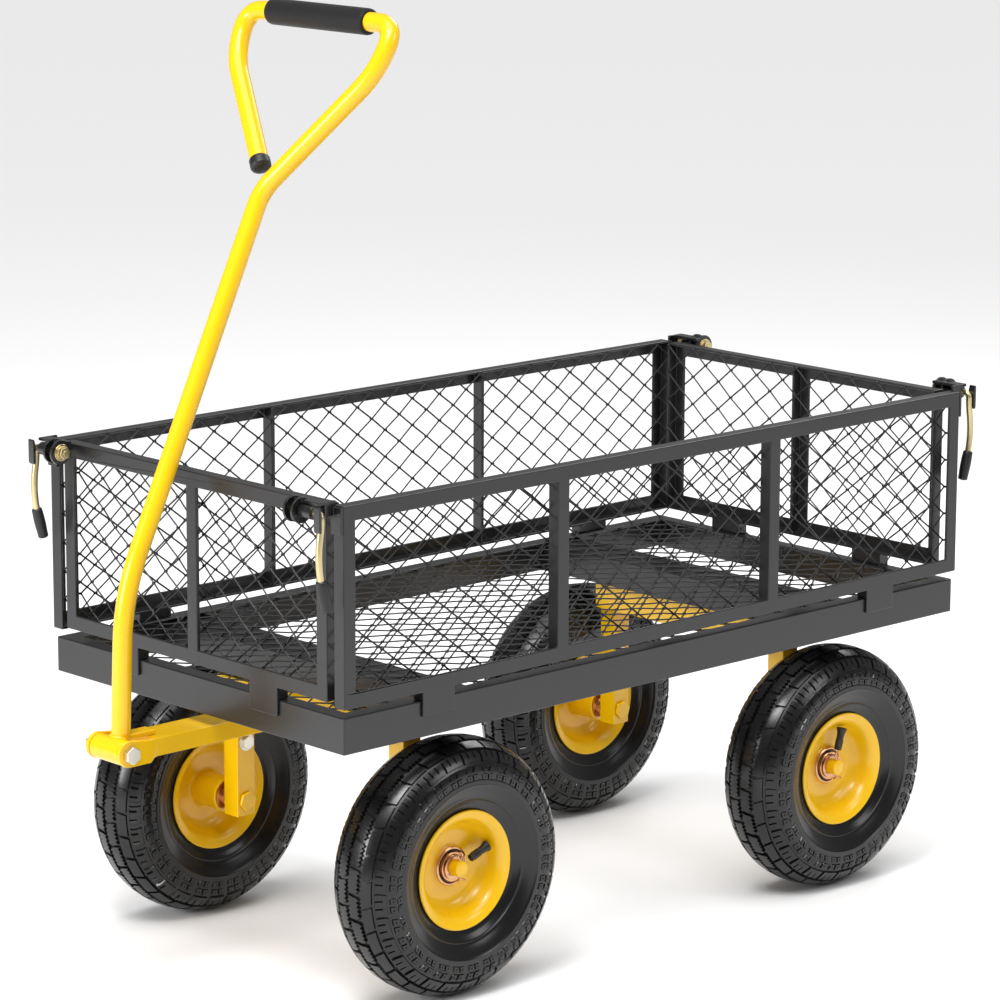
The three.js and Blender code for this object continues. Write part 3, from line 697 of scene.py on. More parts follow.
# ---------------------------------------------------------------- repeated pieces
class TreeBuilder:
    """A geometry tree with named inputs."""

    def __init__(self, name: str) -> None:
        """Starts an empty tree with a geometry output.

        Args:
            name: the tree's name.
        """
        self.tree = bpy.data.node_groups.new(name, "GeometryNodeTree")
        self.tree.interface.new_socket("Geometry", in_out="INPUT", socket_type="NodeSocketGeometry")
        self.tree.interface.new_socket("Geometry", in_out="OUTPUT", socket_type="NodeSocketGeometry")
        self.given = self.tree.nodes.new("NodeGroupInput")

    def size(self, name: str, value: float, kind: str = "NodeSocketFloat") -> Socket:
        """Adds a named input.

        Args:
            name: what the size is called.
            value: its default.
            kind: the socket's type.

        Returns:
            The input's socket inside the tree.
        """
        socket = self.tree.interface.new_socket(name, in_out="INPUT", socket_type=kind)
        if value is not None:
            socket.default_value = value
        return self.given.outputs[name]

    def node(
        self, kind: str, settings: Optional[dict] = None, links: Optional[dict] = None
    ) -> bpy.types.Node:
        """Adds a node to the tree.

        Args:
            kind: the node's type name.
            settings: properties and unlinked input values.
            links: output sockets by the input that they feed.

        Returns:
            The new node.
        """
        return add_node(self.tree, kind, settings, links)

    def maths(self, operation: str, *values: Union[float, Socket]) -> Socket:
        """Adds one sum.

        Args:
            operation: the operation's name.
            values: numbers or sockets.

        Returns:
            The result's socket.
        """
        numbers = {i: v for i, v in enumerate(values) if isinstance(v, (int, float))}
        sockets = {i: v for i, v in enumerate(values) if not isinstance(v, (int, float))}
        return self.node("ShaderNodeMath", {"operation": operation, **numbers}, sockets).outputs[0]

    def times(self, *values: Union[float, Socket]) -> Socket:
        """Multiplies two values.

        Args:
            values: numbers or sockets.

        Returns:
            The product's socket.
        """
        return self.maths("MULTIPLY", *values)

    def end(self, geometry: Socket) -> bpy.types.NodeTree:
        """Realizes the copies, sets the material and closes the tree.

        Args:
            geometry: the socket that holds the result.

        Returns:
            The finished tree.
        """
        stuff = self.size("Material", None, "NodeSocketMaterial")
        real = self.node("GeometryNodeRealizeInstances", {}, {"Geometry": geometry})
        dressed = self.node(
            "GeometryNodeSetMaterial", {}, {"Geometry": real.outputs["Geometry"], "Material": stuff}
        )
        self.node("NodeGroupOutput", {}, {0: dressed.outputs["Geometry"]})
        return self.tree


def grown_mesh(
    name: str, tree: bpy.types.NodeTree, sizes: dict, seed_mesh: Optional[bpy.types.Mesh] = None
) -> bpy.types.Mesh:
    """Runs a geometry tree and returns its result as a plain mesh.

    Args:
        name: the new mesh's name.
        tree: the geometry tree.
        sizes: its inputs by name.
        seed_mesh: the mesh that the tree starts from.

    Returns:
        The tree's result.
    """
    holder = loose_object("growing", seed_mesh or bpy.data.meshes.new("empty"))
    growing = holder.modifiers.new("tree", "NODES")
    growing.node_group = tree
    identifiers = {s.name: s.identifier for s in tree.interface.items_tree if s.in_out == "INPUT"}
    for key, value in sizes.items():
        growing[identifiers[key]] = value
    return evaluated_mesh(holder, name)


def diamond_mesh_tree() -> bpy.types.NodeTree:
    """Builds the tree of an expanded steel mesh.

    It lays one slanted strand in each half cell, and a knuckle at each crossing.

    Returns:
        A tree whose sheet lies in X and Y, with its middle at the origin.
    """
    t = TreeBuilder("expanded_mesh")
    length, height = t.size("Length", 0.8), t.size("Height", 0.2)
    cell_length, cell_height = t.size("Cell Length", 0.039), t.size("Cell Height", 0.03)
    strand, sheet = t.size("Strand Width", 0.0018), t.size("Sheet Depth", 0.0016)
    columns = t.maths("ROUND", t.maths("DIVIDE", length, t.times(cell_length, 0.5)))
    rows = t.maths("ROUND", t.maths("DIVIDE", height, t.times(cell_height, 0.5)))
    half_cell, half_rise = t.maths("DIVIDE", length, columns), t.maths("DIVIDE", height, rows)
    grid = t.node(
        "GeometryNodeMeshGrid",
        {},
        {
            "Size X": length,
            "Size Y": height,
            "Vertices X": t.maths("ADD", columns, 1.0),
            "Vertices Y": t.maths("ADD", rows, 1.0),
        },
    )
    place = t.node("ShaderNodeSeparateXYZ", {}, {0: t.node("GeometryNodeInputPosition").outputs[0]})

    def number_of(along: Socket, whole: Socket, step: Socket, shift: float) -> Socket:
        """Finds which row or column a place lies in.

        Args:
            along: the place.
            whole: the sheet's size that way.
            step: a half cell's size that way.
            shift: added before rounding down.

        Returns:
            The row's or column's number.
        """
        from_edge = t.maths("ADD", along, t.times(whole, 0.5))
        return t.maths("FLOOR", t.maths("ADD", t.maths("DIVIDE", from_edge, step), shift))

    def sign_of(number: Socket) -> Socket:
        """Tells even numbers from odd ones.

        Args:
            number: a whole number.

        Returns:
            1 for an even number and -1 for an odd one.
        """
        odd = t.maths("FLOORED_MODULO", number, 2.0)
        return t.maths("SUBTRACT", 1.0, t.times(odd, 2.0))

    column = number_of(place.outputs[0], length, half_cell, 0.01)
    row = number_of(place.outputs[1], height, half_rise, 0.01)
    lean = sign_of(t.maths("ADD", column, row))
    tilt = t.times(t.times(sign_of(row), lean), t.times(sheet, 0.9))
    centres = t.node("GeometryNodeMeshToPoints", {"mode": "FACES"}, {"Mesh": grid.outputs["Mesh"]})
    line = t.node("GeometryNodeCurvePrimitiveLine", {"Start": (-0.5, -0.5, -0.5), "End": (0.5, 0.5, 0.5)})
    size = t.node("ShaderNodeCombineXYZ", {}, {0: half_cell, 1: t.times(half_rise, lean), 2: tilt})
    strands = t.node(
        "GeometryNodeInstanceOnPoints",
        {},
        {"Points": centres.outputs[0], "Instance": line.outputs[0], "Scale": size.outputs[0]},
    )
    lines = t.node("GeometryNodeRealizeInstances", {}, {"Geometry": strands.outputs[0]})
    section = t.node("GeometryNodeCurvePrimitiveCircle", {"Resolution": 6}, {})
    flat = t.node("ShaderNodeCombineXYZ", {2: 1.0}, {0: t.times(strand, 0.5), 1: t.times(sheet, 0.5)})
    shaped = {"Geometry": section.outputs["Curve"], "Scale": flat.outputs[0]}
    profile = t.node("GeometryNodeTransform", {}, shaped)
    wires = t.node(
        "GeometryNodeCurveToMesh",
        {"Fill Caps": True},
        {"Curve": lines.outputs[0], "Profile Curve": profile.outputs[0]},
    )
    corner_column = number_of(place.outputs[0], length, half_cell, 0.5)
    corner_row = number_of(place.outputs[1], height, half_rise, 0.5)
    crossing = t.node(
        "FunctionNodeCompare",
        {"data_type": "FLOAT", "operation": "GREATER_THAN", 1: 0.5},
        {0: t.maths("FLOORED_MODULO", t.maths("ADD", corner_column, corner_row), 2.0)},
    )
    corners = t.node("GeometryNodeMeshToPoints", {"mode": "VERTICES"}, {"Mesh": grid.outputs["Mesh"]})
    knuckle = t.node(
        "GeometryNodeMeshCylinder",
        {"Vertices": 8, "fill_type": "NGON"},
        {"Radius": t.times(strand, 0.8), "Depth": t.times(sheet, 1.15)},
    )
    even = t.node("FunctionNodeBooleanMath", {"operation": "NOT"}, {0: crossing.outputs[0]})
    knuckles = t.node(
        "GeometryNodeInstanceOnPoints",
        {"Scale": (1.5, 0.8, 1.0)},
        {
            "Points": corners.outputs[0],
            "Instance": knuckle.outputs["Mesh"],
            "Selection": even.outputs[0],
        },
    )
    whole = t.node("GeometryNodeJoinGeometry", {}, {})
    t.tree.links.new(wires.outputs[0], whole.inputs[0])
    t.tree.links.new(knuckles.outputs[0], whole.inputs[0])
    return t.end(whole.outputs[0])


def ring_tree() -> bpy.types.NodeTree:
    """Builds the tree that repeats a mesh evenly round the X axis and welds the copies together.

    Returns:
        A tree that starts from the object's own mesh.
    """
    t = TreeBuilder("ring_of_copies")
    count = t.size("Count", 12, "NodeSocketInt")
    weld = t.size("Weld Distance", 0.00002)
    spots = t.node("GeometryNodeMeshLine", {"Offset": (0.0, 0.0, 0.0)}, {"Count": count})
    index = t.node("GeometryNodeInputIndex").outputs[0]
    step = t.maths("DIVIDE", 2 * math.pi, count)
    turn = t.node("ShaderNodeCombineXYZ", {}, {0: t.times(index, step)})
    copies = t.node(
        "GeometryNodeInstanceOnPoints",
        {},
        {"Points": spots.outputs[0], "Instance": t.given.outputs["Geometry"], "Rotation": turn.outputs[0]},
    )
    real = t.node("GeometryNodeRealizeInstances", {}, {"Geometry": copies.outputs[0]})
    welded = t.node("GeometryNodeMergeByDistance", {}, {"Geometry": real.outputs[0], "Distance": weld})
    return t.end(welded.outputs[0])


# ---------------------------------------------------------------- sub-assemblies
ENDS = ("front", "rear")
RIPPLE_MM = 2.4  # the spacing of a weld's ripples
CELL_LENGTH_MM = 39.0  # a diamond of the expanded mesh, along the sheet
CELL_HEIGHT_MM = 30.0  # and across it


def middle_of(node: str) -> Vector:
    """Finds the middle of a CAD node's box.

    Args:
        node: the CAD node's name.

    Returns:
        The middle, in metres.
    """
    low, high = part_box(node)
    return (low + high) / 2


def weld_bead(name: str, route: Sequence[Point], radius_mm: float = 1.6) -> bpy.types.Mesh:
    """Lays a rippled weld along a straight seam.

    Args:
        name: the mesh's name.
        route: the seam's two ends, in millimetres.
        radius_mm: the bead's half width.

    Returns:
        A closed bead.
    """
    start, end = (Vector(p) * MM for p in route)
    length = (end - start).length
    ripples = length / MM / RIPPLE_MM
    steps = max(6, int(ripples * 4))
    points = [start.lerp(end, i / steps) for i in range(steps + 1)]

    def width(share: float) -> float:
        """Gives the bead's radius, which tapers at both ends and ripples between.

        Args:
            share: the share of the length.

        Returns:
            The radius in metres.
        """
        taper = min(1.0, 8 * share + 0.35, 8 * (1 - share) + 0.35)
        return radius_mm * MM * taper * (0.88 + 0.12 * math.cos(2 * math.pi * share * ripples))

    return rod(name, points, width, sides=10)


def expanded_sheet(
    node: str, name: str, tree: bpy.types.NodeTree, strand_mm: float, sheet_mm: float
) -> bpy.types.Object:
    """Makes an expanded mesh inside the space of its plain sheet.

    Args:
        node: the CAD node of the plain sheet.
        name: the piece's name.
        tree: the tree of the expanded mesh.
        strand_mm: the width of a strand.
        sheet_mm: the thickness of the expanded sheet.

    Returns:
        The new piece.
    """
    low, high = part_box(node)
    size = high - low
    length, height, turn = {
        "x": (size.y, size.z, ((0, 0, 1), (1, 0, 0), (0, 1, 0))),
        "y": (size.x, size.z, ((1, 0, 0), (0, 0, -1), (0, 1, 0))),
        "z": (size.y, size.x, ((0, -1, 0), (1, 0, 0), (0, 0, 1))),
    }["xyz"[min(range(3), key=lambda i: size[i])]]
    sizes = {
        "Length": length,
        "Height": height,
        "Cell Length": CELL_LENGTH_MM * MM,
        "Cell Height": CELL_HEIGHT_MM * MM,
        "Strand Width": strand_mm * MM,
        "Sheet Depth": sheet_mm * MM,
    }
    mesh = grown_mesh(name, tree, sizes)
    mesh.transform(Matrix.Translation((low + high) / 2) @ Matrix(turn).to_4x4())
    return place_piece(name, mesh, BODY_OF[node], Look.GREY_MESH, [node])


@dataclass
class Deck:
    """The folded rim, its expanded mesh floor, the two cross members and the turntable's fixed half.

    Attributes:
        expanded: the tree of the expanded mesh.
        strand_mm: the width of a strand.
        sheet_mm: the thickness of the expanded sheet.
        edge_mm: the rounding of the folded rim.
    """

    expanded: bpy.types.NodeTree
    strand_mm: float = 2.0
    sheet_mm: float = 1.6
    edge_mm: float = 1.3

    def build(self) -> list[bpy.types.Object]:
        """Builds the deck's pieces.

        Returns:
            The pieces, each on the chassis.
        """
        pieces = [coated_node("deck_rim", Look.GREY_PAINT, self.edge_mm)]
        pieces += [coated_node(f"cross_member_{end}", Look.GREY_PAINT, 1.0) for end in ENDS]
        pieces.append(coated_node("turntable_plate", Look.YELLOW_PAINT, 0.6))
        pieces += [coated_node(node, Look.YELLOW_ZINC, 0.5) for node in ("kingpin", "kingpin_nut")]
        floor = ("deck_floor", "deck_floor_mesh", self.expanded, self.strand_mm, self.sheet_mm)
        return [*pieces, expanded_sheet(*floor)]


@dataclass
class SidePanel:
    """One lift-off panel: an angle-steel frame with expanded mesh against its inner edges.

    Attributes:
        side: "left", "right", "front" or "rear".
        expanded: the tree of the expanded mesh.
        strand_mm: the width of a strand.
        sheet_mm: the thickness of the expanded sheet.
    """

    side: str
    expanded: bpy.types.NodeTree
    strand_mm: float = 1.9
    sheet_mm: float = 1.5

    def build(self) -> list[bpy.types.Object]:
        """Builds the panel's frame and mesh.

        Returns:
            The two pieces.
        """
        node = f"panel_mesh_{self.side}"
        return [
            coated_node(f"panel_frame_{self.side}", Look.GREY_PAINT, 1.1),
            expanded_sheet(node, node + "_expanded", self.expanded, self.strand_mm, self.sheet_mm),
        ]


@dataclass
class CornerLatch:
    """A latch at one corner: a black pressed bracket with two round ears, a bolt, and a bent lever.

    Attributes:
        corner: such as "front_right".
        rod_mm: the lever rod's radius.
        grip_mm: the grip's radius.
        washer_mm: the radius of the washer under the bolt's nut.
        nut_mm: the nut's radius over its corners.
        hub_reach_mm: how far the rod runs inboard to the hub.
        waist_mm: how far the rod falls straight before it bulges.
        knee_mm: how far it bulges.
        sleeve_mm: the grip's length.
        ear_mm: from the bolt's outboard end to the ear.
    """

    corner: str
    rod_mm: float = 3.4
    grip_mm: float = 5.7
    washer_mm: float = 8.6
    nut_mm: float = 6.6
    hub_reach_mm: float = 14.0
    waist_mm: float = 13.0
    knee_mm: float = 5.4
    sleeve_mm: float = 29.0
    ear_mm: float = 8.3

    def __post_init__(self) -> None:
        """Finds which way is outwards from the corner, across and along."""
        self.side = -1 if self.corner.endswith("left") else 1
        self.end = -1 if self.corner.startswith("front") else 1
        self.axis = middle_of("latch_bolt_" + self.corner)

    def build(self) -> list[bpy.types.Object]:
        """Builds the latch's pieces.

        Returns:
            The bracket, bolt, lever, rod and grip.
        """
        corner = self.corner
        pieces = [
            coated_node("latch_bracket_" + corner, Look.BLACK_PAINT, 0.5),
            coated_node("latch_bolt_" + corner, Look.YELLOW_ZINC, 0.5),
            self.washers(),
        ]
        return pieces + self.lever()

    def washers(self) -> bpy.types.Object:
        """Makes the flat washer, the lock washer and the nut on the ear.

        Returns:
            One piece of the three.
        """
        node = "latch_bolt_" + self.corner
        low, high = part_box(node)
        side, middle, bore = self.side, self.axis, 3.6
        ear = (low.x if side > 0 else high.x) / MM + side * self.ear_mm

        def ring(name: str, radius: float, start: float, thick: float) -> bpy.types.Mesh:
            """Turns one washer.

            Args:
                name: the mesh's name.
                radius: its radius, in millimetres.
                start: how far inboard of the ear it starts.
                thick: its thickness.

            Returns:
                The washer's mesh.
            """
            near, far = ear - side * start, ear - side * (start + thick)
            outline = [(bore, near), (radius, near), (radius, far + side * 0.3), (radius - 0.3, far)]
            return lathe(name, [*outline, (bore, far)], (0.0, middle.y, middle.z), 48)

        name = "latch_washers_" + self.corner
        near, far = ear - side * 2.6, ear - side * 7.0
        hexagon = ngon((middle.y / MM, middle.z / MM), self.nut_mm, 6, 12)
        nut = prism("nut", hexagon, min(near, far), max(near, far), "x", 0.8)
        mesh = merged([ring("flat", self.washer_mm, 0.1, 1.3), ring("lock", 6.6, 1.4, 1.2), nut], name)
        return place_piece(name, mesh, BODY_OF[node], Look.YELLOW_ZINC)

    def lever(self) -> list[bpy.types.Object]:
        """Makes the cast lever head, the plated rod and the rubber grip.

        Returns:
            The rod, the head and the grip.
        """
        end, side, axis = self.end, self.side, self.axis
        low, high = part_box("latch_grip_" + self.corner)
        body = BODY_OF["latch_lever_" + self.corner]
        rod_x = (low.x + high.x) / 2
        top = Vector((rod_x, axis.y, axis.z))
        foot = Vector((rod_x, (low.y + high.y) / 2 - end * 1.0 * MM, low.z + 4 * MM))
        waist = top + Vector((0, 0, -self.waist_mm * MM))
        knee = top + Vector((0, end * self.knee_mm * MM, -0.5 * (top.z - foot.z)))
        hub_x = rod_x - side * self.hub_reach_mm * MM
        corners = [(hub_x, top.y, top.z), tuple(top), tuple(waist), tuple(knee), tuple(foot)]
        route = rounded_route(corners, [5 * MM, 7 * MM, 24 * MM], 12)
        bar = rod("latch_rod_" + self.corner, route, self.rod_mm * MM, 20)
        plated = place_piece("latch_rod_" + self.corner, bar, body, Look.YELLOW_ZINC)
        node = "latch_lever_" + self.corner
        black = place_piece("latch_head_" + self.corner, self.head(rod_x), body, Look.BLACK_PAINT, [node])
        away = (foot - knee).normalized()
        sleeve_top = foot - away * self.sleeve_mm * MM
        steps = [sleeve_top.lerp(foot, i / 12) for i in range(13)]

        def swell(share: float) -> float:
            """Gives the grip's radius, which is fuller towards its foot.

            Args:
                share: the share of the grip's length.

            Returns:
                The radius in metres.
            """
            return (self.grip_mm - 0.5 + 0.5 * math.sin(math.pi * min(1.0, share * 1.15))) * MM

        name, node = "latch_sleeve_" + self.corner, "latch_grip_" + self.corner
        sleeve = rod(name, steps, swell, 24, dome=1.8 * MM)
        return [plated, black, place_piece(name, sleeve, body, Look.BLACK_RUBBER, [node])]

    def head(self, rod_x: float) -> bpy.types.Mesh:
        """Makes the lever's head: a round hub on the bolt, the cam and the upright shoe that holds the rod.

        Args:
            rod_x: where the rod hangs, in metres.

        Returns:
            One mesh of the three shapes.
        """
        low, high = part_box("latch_lever_" + self.corner)
        side, end, axis = self.side, self.end, self.axis
        y, z = axis.y / MM, axis.z / MM
        inner = (low.x if side > 0 else high.x) / MM
        hub_outline = [
            (3.5, inner), (6.0, inner), (6.5, inner + side * 0.6), (6.5, inner + side * 16.4),
            (5.9, inner + side * 17), (3.5, inner + side * 17),
        ]
        hub = lathe("hub", hub_outline, (0, axis.y, axis.z), 32)
        cam_tip = (high.y if end < 0 else low.y) / MM
        cam_outline = [
            (y, z - 4.2), (cam_tip + end * 1.5, z - 3), (cam_tip, z - 1.5), (cam_tip, z + 1.5),
            (cam_tip + end * 1.5, z + 3), (y, z + 4.2),
        ]
        cam = prism("cam", cam_outline, min(inner, inner + side * 7), max(inner, inner + side * 7), "x", 0.5)
        leaf = (
            (2.9, -16), (2.9, 2), (4.4, 7.6), (5.6, 8.4), (6.4, 7.4), (6.4, -14.5), (5.4, -17), (3.8, -17),
        )
        shoe_outline = [(y + end * out, z + up) for out, up in leaf]
        arm_side, far_side = rod_x / MM - side * 3.7, rod_x / MM + side * 4.6
        shoe = prism("shoe", shoe_outline, min(arm_side, far_side), max(arm_side, far_side), "x", 0.7)
        return merged([hub, cam, shoe], "latch_head_" + self.corner)


@dataclass
class AxleFrame:
    """The channel across the cart and its two square legs, with their zinc-plated nuts.

    Attributes:
        end: "front" or "rear".
        nut_mm: the nut's radius over its corners.
        nut_height_mm: how far the nut stands off the leg.
        nut_z_mm: how high the nut is.
        washer_mm: the washer's radius.
        leg_inner_mm: from the cart's middle to a leg's inner face.
        leg_outer_mm: and to its outer face.
        leg_half_mm: half the leg's width along the cart.
        beam_bottom_mm: the height of the channel's underside.
    """

    end: str
    nut_mm: float = 7.4
    nut_height_mm: float = 5.2
    nut_z_mm: float = 191.5
    washer_mm: float = 9.2
    leg_inner_mm: float = 116.05
    leg_outer_mm: float = 138.05
    leg_half_mm: float = 11.5
    beam_bottom_mm: float = 245.5

    def build(self) -> list[bpy.types.Object]:
        """Builds the frame, its nuts and its welds.

        Returns:
            The pieces.
        """
        node = f"axle_frame_{self.end}"
        frame_piece = coated_node(node, Look.YELLOW_PAINT, 1.1)
        y, seam_z = middle_of(f"tyre_{self.end}_right").y / MM, self.beam_bottom_mm
        nuts, beads = [], []
        for side in (-1, 1):
            face = side * self.leg_inner_mm
            nut_span = sorted((face, face - side * self.nut_height_mm))
            nuts.append(prism("nut", ngon((y, self.nut_z_mm), self.nut_mm, 6, 30), *nut_span, "x", 0.7))
            washer_span = sorted((face, face - side * 1.3))
            nuts.append(prism("washer", ngon((y, self.nut_z_mm), self.washer_mm, 32), *washer_span, "x", 0.3))
            for edge in (-self.leg_half_mm, self.leg_half_mm):
                ends = [(side * x, y + edge, seam_z) for x in (self.leg_inner_mm, self.leg_outer_mm)]
                beads.append(weld_bead("bead", ends))
        pieces = [frame_piece]
        for kind, parts, look in (("nuts", nuts, Look.BRIGHT_ZINC), ("welds", beads, Look.YELLOW_PAINT)):
            name = f"leg_{kind}_{self.end}"
            pieces.append(place_piece(name, merged(parts, name), BODY_OF[node], look))
        return pieces


@dataclass(frozen=True)
class TreadRow:
    """One row of blocks round the tyre.

    Attributes:
        inner: where the row starts, in millimetres of section from the crown.
        outer: where it ends.
        spans: the block's start and end round the tyre, in millimetres at the crown.
        sipes: narrow slots across the block, as (start, end) round the tyre.
        sipe_outer: how far out the slots reach.
        dot: whether each block has a small pit in its middle.
        saw_inner: whether the inner edge is a saw tooth.
        saw_outer: whether the outer edge is one.
    """

    inner: float
    outer: float
    spans: tuple[tuple[float, float], ...]
    sipes: tuple[tuple[float, float], ...] = ()
    sipe_outer: float = 0.0
    dot: bool = False
    saw_inner: bool = False
    saw_outer: bool = False

    def raised(self, round_mm: float, out_mm: float) -> bool:
        """Tells whether a place on the tyre is on top of a block.

        Args:
            round_mm: the place round the tyre, within one pitch.
            out_mm: its distance from the crown.

        Returns:
            Whether it is.
        """
        if not self.inner < out_mm < self.outer:
            return False
        if not any(a < round_mm < b for a, b in self.spans):
            return False
        return not (out_mm < self.sipe_outer and any(a < round_mm < b for a, b in self.sipes))


@dataclass
class Tread:
    """The pneumatic tyre's section and the pattern moulded on it.

    Attributes:
        blocks: how many blocks make the full turn.
        pitch: the length of one block and its groove at the crown, in millimetres.
        wall: half the width of a block's sloping wall.
        saw: the height of the saw tooth.
        sway: how far the blocks lean round the tyre as they cross it.
        teeth: teeth per block.
        wave: the length of the lean's swing across the tyre.
        lean_to: where the lean ends, from the crown.
        lean_fade: the width over which it dies away.
        bead: the radius and half width of the tyre's closed back.
        section: radius and offset of the outer skin, from the crown to the bead.
        rows: the rows of blocks, from the crown outwards.
        depths: the groove's depth at distances from the crown.
        rings: where a fine raised ring runs round the sidewall.
        dots: where the pits are, round the tyre.
    """

    blocks: int = 30
    pitch: float = 27.0
    wall: float = 0.4
    saw: float = 1.5
    sway: float = 2.6
    teeth: int = 6
    wave: float = 7.5
    lean_to: float = 64.0
    lean_fade: float = 8.0
    bead: tuple[float, float] = (51.5, 20.0)
    section: tuple[tuple[float, float], ...] = (
        (129.0, 0.0), (128.7, 6.5), (127.7, 13.0), (125.4, 20.0), (121.2, 27.0),
        (114.8, 33.6), (106.5, 38.1), (97.5, 39.8), (88.5, 38.8), (79.5, 35.4),
        (71.5, 30.8), (65.0, 26.6), (61.4, 24.9), (58.6, 24.2), (53.0, 23.6),
    )
    rows: tuple[TreadRow, ...] = (
        TreadRow(1.9, 13.6, ((1.7, 25.3),), saw_inner=True, saw_outer=True),
        TreadRow(17.2, 28.2, ((-1.0, 11.9), (15.1, 28.0))),
        TreadRow(31.2, 43.4, ((2.0, 25.0),), ((8.5, 9.7), (17.3, 18.5)), 39.0),
        TreadRow(46.6, 53.2, ((4.2, 12.1), (14.9, 22.8)), dot=True),
        TreadRow(55.6, 61.2, ((4.2, 12.1), (14.9, 22.8)), dot=True),
    )
    depths: tuple[tuple[float, float], ...] = (
        (0.0, 2.7), (29.0, 2.5), (44.0, 1.8), (46.0, 1.5), (61.0, 1.2), (63.5, 0.0), (200.0, 0.0),
    )
    rings: tuple[float, ...] = (66.5, 84.0)
    dots: tuple[float, ...] = (8.15, 18.85)

    def __post_init__(self) -> None:
        """Measures the section."""
        self.reach = 0.0
        self.at = self.profile()

    def profile(self) -> Callable[[float], tuple[float, float, float, float]]:
        """Draws a smooth line through the section's corners, and notes its length as reach.

        Returns:
            A function of the place across the section: radius, offset, and the outward direction.
        """
        knots = np.array(self.section)
        mirrored = np.vstack([knots[3:0:-1] * (1, -1), knots])
        samples = []
        for i in range(3, len(mirrored) - 1):
            a, b, c = mirrored[i - 1], mirrored[i], mirrored[i + 1]
            d = mirrored[min(i + 2, len(mirrored) - 1)]
            for t in np.linspace(0, 1, 24, endpoint=False):
                bend, twist = (2 * a - 5 * b + 4 * c - d) * t**2, (3 * b - a - 3 * c + d) * t**3
                samples.append(0.5 * (2 * b + (c - a) * t + bend + twist))
        line = np.array(samples + [mirrored[-1]])
        lengths = np.concatenate([[0], np.cumsum(np.linalg.norm(np.diff(line, axis=0), axis=1))])
        self.reach = float(lengths[-1])

        def at(place: float) -> tuple[float, float, float, float]:
            """Looks up a place on the section.

            Args:
                place: its distance from the crown, negative on the mirrored side.

            Returns:
                Its radius and offset, and the two parts of the outward direction.
            """
            out = min(abs(place), self.reach)
            here = [np.interp(out, lengths, line[:, k]) for k in (0, 1)]
            ahead = [np.interp(min(out + 0.5, self.reach), lengths, line[:, k]) for k in (0, 1)]
            behind = [np.interp(max(out - 0.5, 0), lengths, line[:, k]) for k in (0, 1)]
            step = np.array(ahead) - np.array(behind)
            step /= np.linalg.norm(step)
            hand = -1 if place < 0 else 1
            return float(here[0]), float(here[1]) * hand, float(step[1]), float(-step[0]) * hand

        return at

    def lines_round(self) -> list[float]:
        """Places the mesh's lines across the tread.

        Returns:
            Their places over one pitch, in order.
        """
        lines = [i * self.pitch / (2 * self.teeth) for i in range(2 * self.teeth)]
        ends = {end for row in self.rows for span in (*row.spans, *row.sipes) for end in span}
        edges = {end for end in ends if 0 < end < self.pitch}
        pinned = [e + s * self.wall for e in edges for s in (-1, 1)]
        pinned += [dot + s for dot in self.dots for s in (-0.8, 0.8)]
        lines = pinned + [p for p in lines if min(abs(p - q) for q in pinned) > 0.5]
        ordered: list[float] = []
        for value in sorted(lines):
            if not ordered or value - ordered[-1] > 0.12:
                ordered.append(value)
        return ordered

    def lines_out(self) -> list[tuple[float, bool]]:
        """Places the mesh's lines round the tyre.

        Returns:
            Each line's distance from the crown, and whether it is saw-toothed.
        """
        lines: list[tuple[float, bool]] = []
        for row in self.rows:
            lines += [(row.inner + s * self.wall, row.saw_inner) for s in (-1, 1)]
            lines += [(row.outer + s * self.wall, row.saw_outer) for s in (-1, 1)]
            if row.sipe_outer:
                lines += [(row.sipe_outer + s * self.wall, False) for s in (-1, 1)]
            if row.dot:
                middle = (row.inner + row.outer) / 2
                lines += [(middle + s, False) for s in (-0.9, -0.55, 0.55, 0.9)]
        for ring in self.rings:
            lines += [(ring + s, False) for s in (-0.9, 0.0, 0.9)]
        taken = sorted(p for p, _ in lines)
        filler = [7.8, 22.8, 35.0, 63.5, 70.0, 73.5, 77.0, 80.5, 87.5, 90.5, 93.0, self.reach]
        lines += [(p, False) for p in filler if min(abs(p - q) for q in taken) > 0.6 and p <= self.reach]
        return sorted(lines)

    def height(self, round_mm: float, out_mm: float) -> float:
        """Finds how far a place on the tyre lies above the section's line.

        Args:
            round_mm: the place round the tyre, within one pitch.
            out_mm: its distance from the crown.

        Returns:
            Millimetres above the line, negative below it.
        """
        places, depths = zip(*self.depths)
        depth = float(np.interp(out_mm, places, depths))
        for ring in self.rings:
            if abs(out_mm - ring) < 0.3:
                return 0.45
        for row in self.rows:
            if row.raised(round_mm, out_mm):
                middle = (row.inner + row.outer) / 2
                near = any(abs(round_mm - dot) < 0.9 for dot in self.dots)
                return -0.8 if row.dot and abs(out_mm - middle) < 0.7 and near else 0.0
        return -depth

